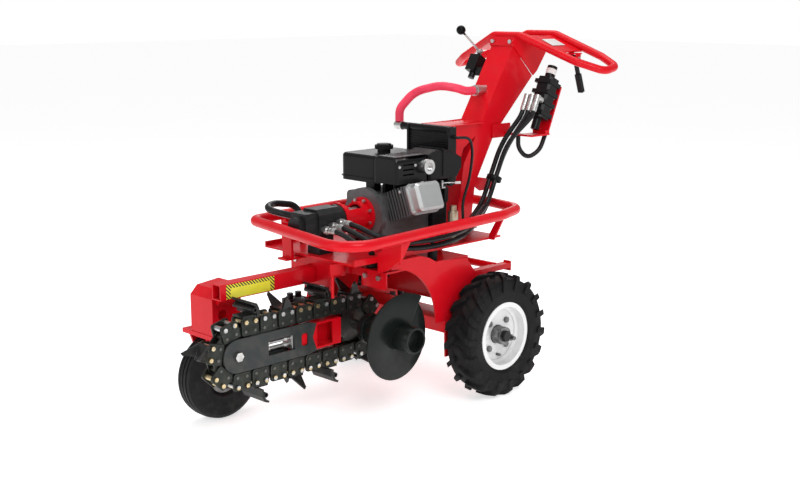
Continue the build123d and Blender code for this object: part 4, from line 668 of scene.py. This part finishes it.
class TRENCHER_OT_hose_collars(bpy.types.Operator):
    """Adds the crimped collars where the hoses meet the pump and the drive valve"""
    bl_idname = "trencher.hose_collars"
    bl_label = "Hose collars"

    def execute(self, context):
        collars = [crimped_collar("pump_collar", at(*place), (0, -1, 0.02), 0.0108, 0.030) for place in PUMP_PORTS]
        collars += [crimped_collar("valve_collar", at(*place), (-0.407, 0, -0.914), 0.0106, 0.026)
                    for place in VALVE_PORTS]
        finished(merged("hose_collars", collars), "zinc", "frame")
        return {"FINISHED"}


class TRENCHER_OT_valve_sleeve(bpy.types.Operator):
    """Adds the white sleeve round the upper cylinder of the drive valve"""
    bl_idname = "trencher.valve_sleeve"
    bl_label = "Valve sleeve"

    def execute(self, context):
        up = Vector((math.sin(VALVE_LEAN), 0, math.cos(VALVE_LEAN)))
        centre = at(*VALVE_MIDDLE)
        sleeve = drum("valve_sleeve", centre + up * 0.100, 0.0187, 0.020, axis=up, sides=64, round_by=0.0012)
        cap = drum("valve_sleeve_cap", centre + up * 0.1205, 0.0145, 0.003, axis=up, sides=48, round_by=0.0008)
        finished(merged("valve_sleeve", [sleeve, cap]), "band_white", "frame")
        return {"FINISHED"}


class TRENCHER_OT_crown_panel(bpy.types.Operator):
    """Adds the blank pale panel on the near wing of the handlebar crown"""
    bl_idname = "trencher.crown_panel"
    bl_label = "Crown panel"

    def execute(self, context):
        panel = block("crown_panel", (-0.036, -0.027, -0.0007), (0.036, 0.027, 0.0007), 0.0005)
        panel.rotation_euler = (WING_SLOPE, 0, 0)
        panel.location = at(*PANEL_MIDDLE)
        settle(panel)
        finished(panel, "panel_pale", "frame")
        return {"FINISHED"}


class TRENCHER_OT_stage(bpy.types.Operator):
    """Adds the camera, the pale floor and the soft lights"""
    bl_idname = "trencher.stage"
    bl_label = "Camera, floor and lights"

    def execute(self, context):
        scene = context.scene
        deselect()
        bpy.ops.object.camera_add(location=(AXLE_X - 2.96719, -2.82882, 1.30557))
        camera = bpy.context.object
        camera.rotation_euler = Vector((0.6907, 0.6937, -0.2047)).to_track_quat("-Z", "Y").to_euler()
        camera.data.lens = scene.trencher_sizes.lens
        camera.data.sensor_width = 36.0
        scene.camera = camera
        bpy.ops.mesh.primitive_plane_add(size=60, location=(0, 0, -0.0005))
        floor = added("floor")
        shade_floor = Finish("Pale floor", 0.85)
        noise = shade_floor.group("Grain", fine_scale=60.0, coarse_scale=0.8)
        tone = shade_floor.mix(shade_floor.times(noise["Coarse"], 0.1), (0.92, 0.92, 0.92), (0.88, 0.88, 0.88))
        shade_floor.roughness(noise["Coarse"], 0.8, 0.9)
        shade_floor.shader.inputs["Emission Color"].default_value = (1, 1, 1, 1)
        shade_floor.shader.inputs["Emission Strength"].default_value = 0.62
        floor.data.materials.append(shade_floor.done(tone, shade_floor.bump(noise["Fine"], 0.01, 0.001)))
        lamps = (
            ("key", (-1.6, -3.4, 3.4), 2.2, 85.0),
            ("fill", (-4.2, 0.6, 2.2), 2.6, 30.0),
            ("top", (0.6, 0.4, 3.6), 2.4, 55.0),
            ("back", (3.0, 2.6, 2.4), 2.0, 25.0),
        )
        for name, place, size, power in lamps:
            bpy.ops.object.light_add(type="AREA", location=place)
            lamp = bpy.context.object
            lamp.name = "lamp_" + name
            lamp.data.shape = "SQUARE"
            lamp.data.size = size
            lamp.data.energy = power
            lamp.rotation_euler = (Vector((0, 0, 0.45)) - Vector(place)).to_track_quat("-Z", "Y").to_euler()
        world = bpy.data.worlds.new("Studio")
        world.use_nodes = True
        tree = world.node_tree
        tree.nodes["Background"].inputs[0].default_value = (1, 1, 1, 1)
        seen = tree.nodes.new("ShaderNodeLightPath").outputs["Is Camera Ray"]
        strength = put(tree, "ShaderNodeMapRange", {"Value": seen, "To Min": 0.38, "To Max": 1.0}).outputs[0]
        tree.links.new(strength, tree.nodes["Background"].inputs[1])
        scene.world = world
        scene.view_settings.view_transform = "Standard"
        return {"FINISHED"}


class TRENCHER_PT_panel(bpy.types.Panel):
    """Lists the pieces of the trencher"""
    bl_label = "Trencher"
    bl_idname = "TRENCHER_PT_panel"
    bl_space_type = "VIEW_3D"
    bl_region_type = "UI"
    bl_category = "Trencher"

    def draw(self, context):
        for group in (context.scene.trencher_paint, context.scene.trencher_sizes):
            for key in type(group).__annotations__:
                self.layout.prop(group, key)
        for operator in OPERATORS:
            self.layout.operator(operator.bl_idname)


OPERATORS = (TRENCHER_OT_finishes, TRENCHER_OT_auger, TRENCHER_OT_hazard_sign, TRENCHER_OT_engine_bolts,
             TRENCHER_OT_hose_clip, TRENCHER_OT_hose_collars, TRENCHER_OT_valve_sleeve, TRENCHER_OT_crown_panel,
             TRENCHER_OT_stage)
CLASSES = (TrencherPaint, TrencherSizes, *OPERATORS, TRENCHER_PT_panel)


def register():
    for item in CLASSES:
        bpy.utils.register_class(item)
    bpy.types.Scene.trencher_paint = PointerProperty(type=TrencherPaint)
    bpy.types.Scene.trencher_sizes = PointerProperty(type=TrencherSizes)


def unregister():
    del bpy.types.Scene.trencher_sizes
    del bpy.types.Scene.trencher_paint
    for item in reversed(CLASSES):
        bpy.utils.unregister_class(item)


def main():
    register()
    bpy.ops.trencher.finishes()
    bpy.ops.trencher.auger()
    bpy.ops.trencher.hazard_sign()
    bpy.ops.trencher.engine_bolts()
    bpy.ops.trencher.hose_clip()
    bpy.ops.trencher.hose_collars()
    bpy.ops.trencher.valve_sleeve()
    bpy.ops.trencher.crown_panel()
    bpy.ops.trencher.stage()


if __name__ == "__main__":
    main()
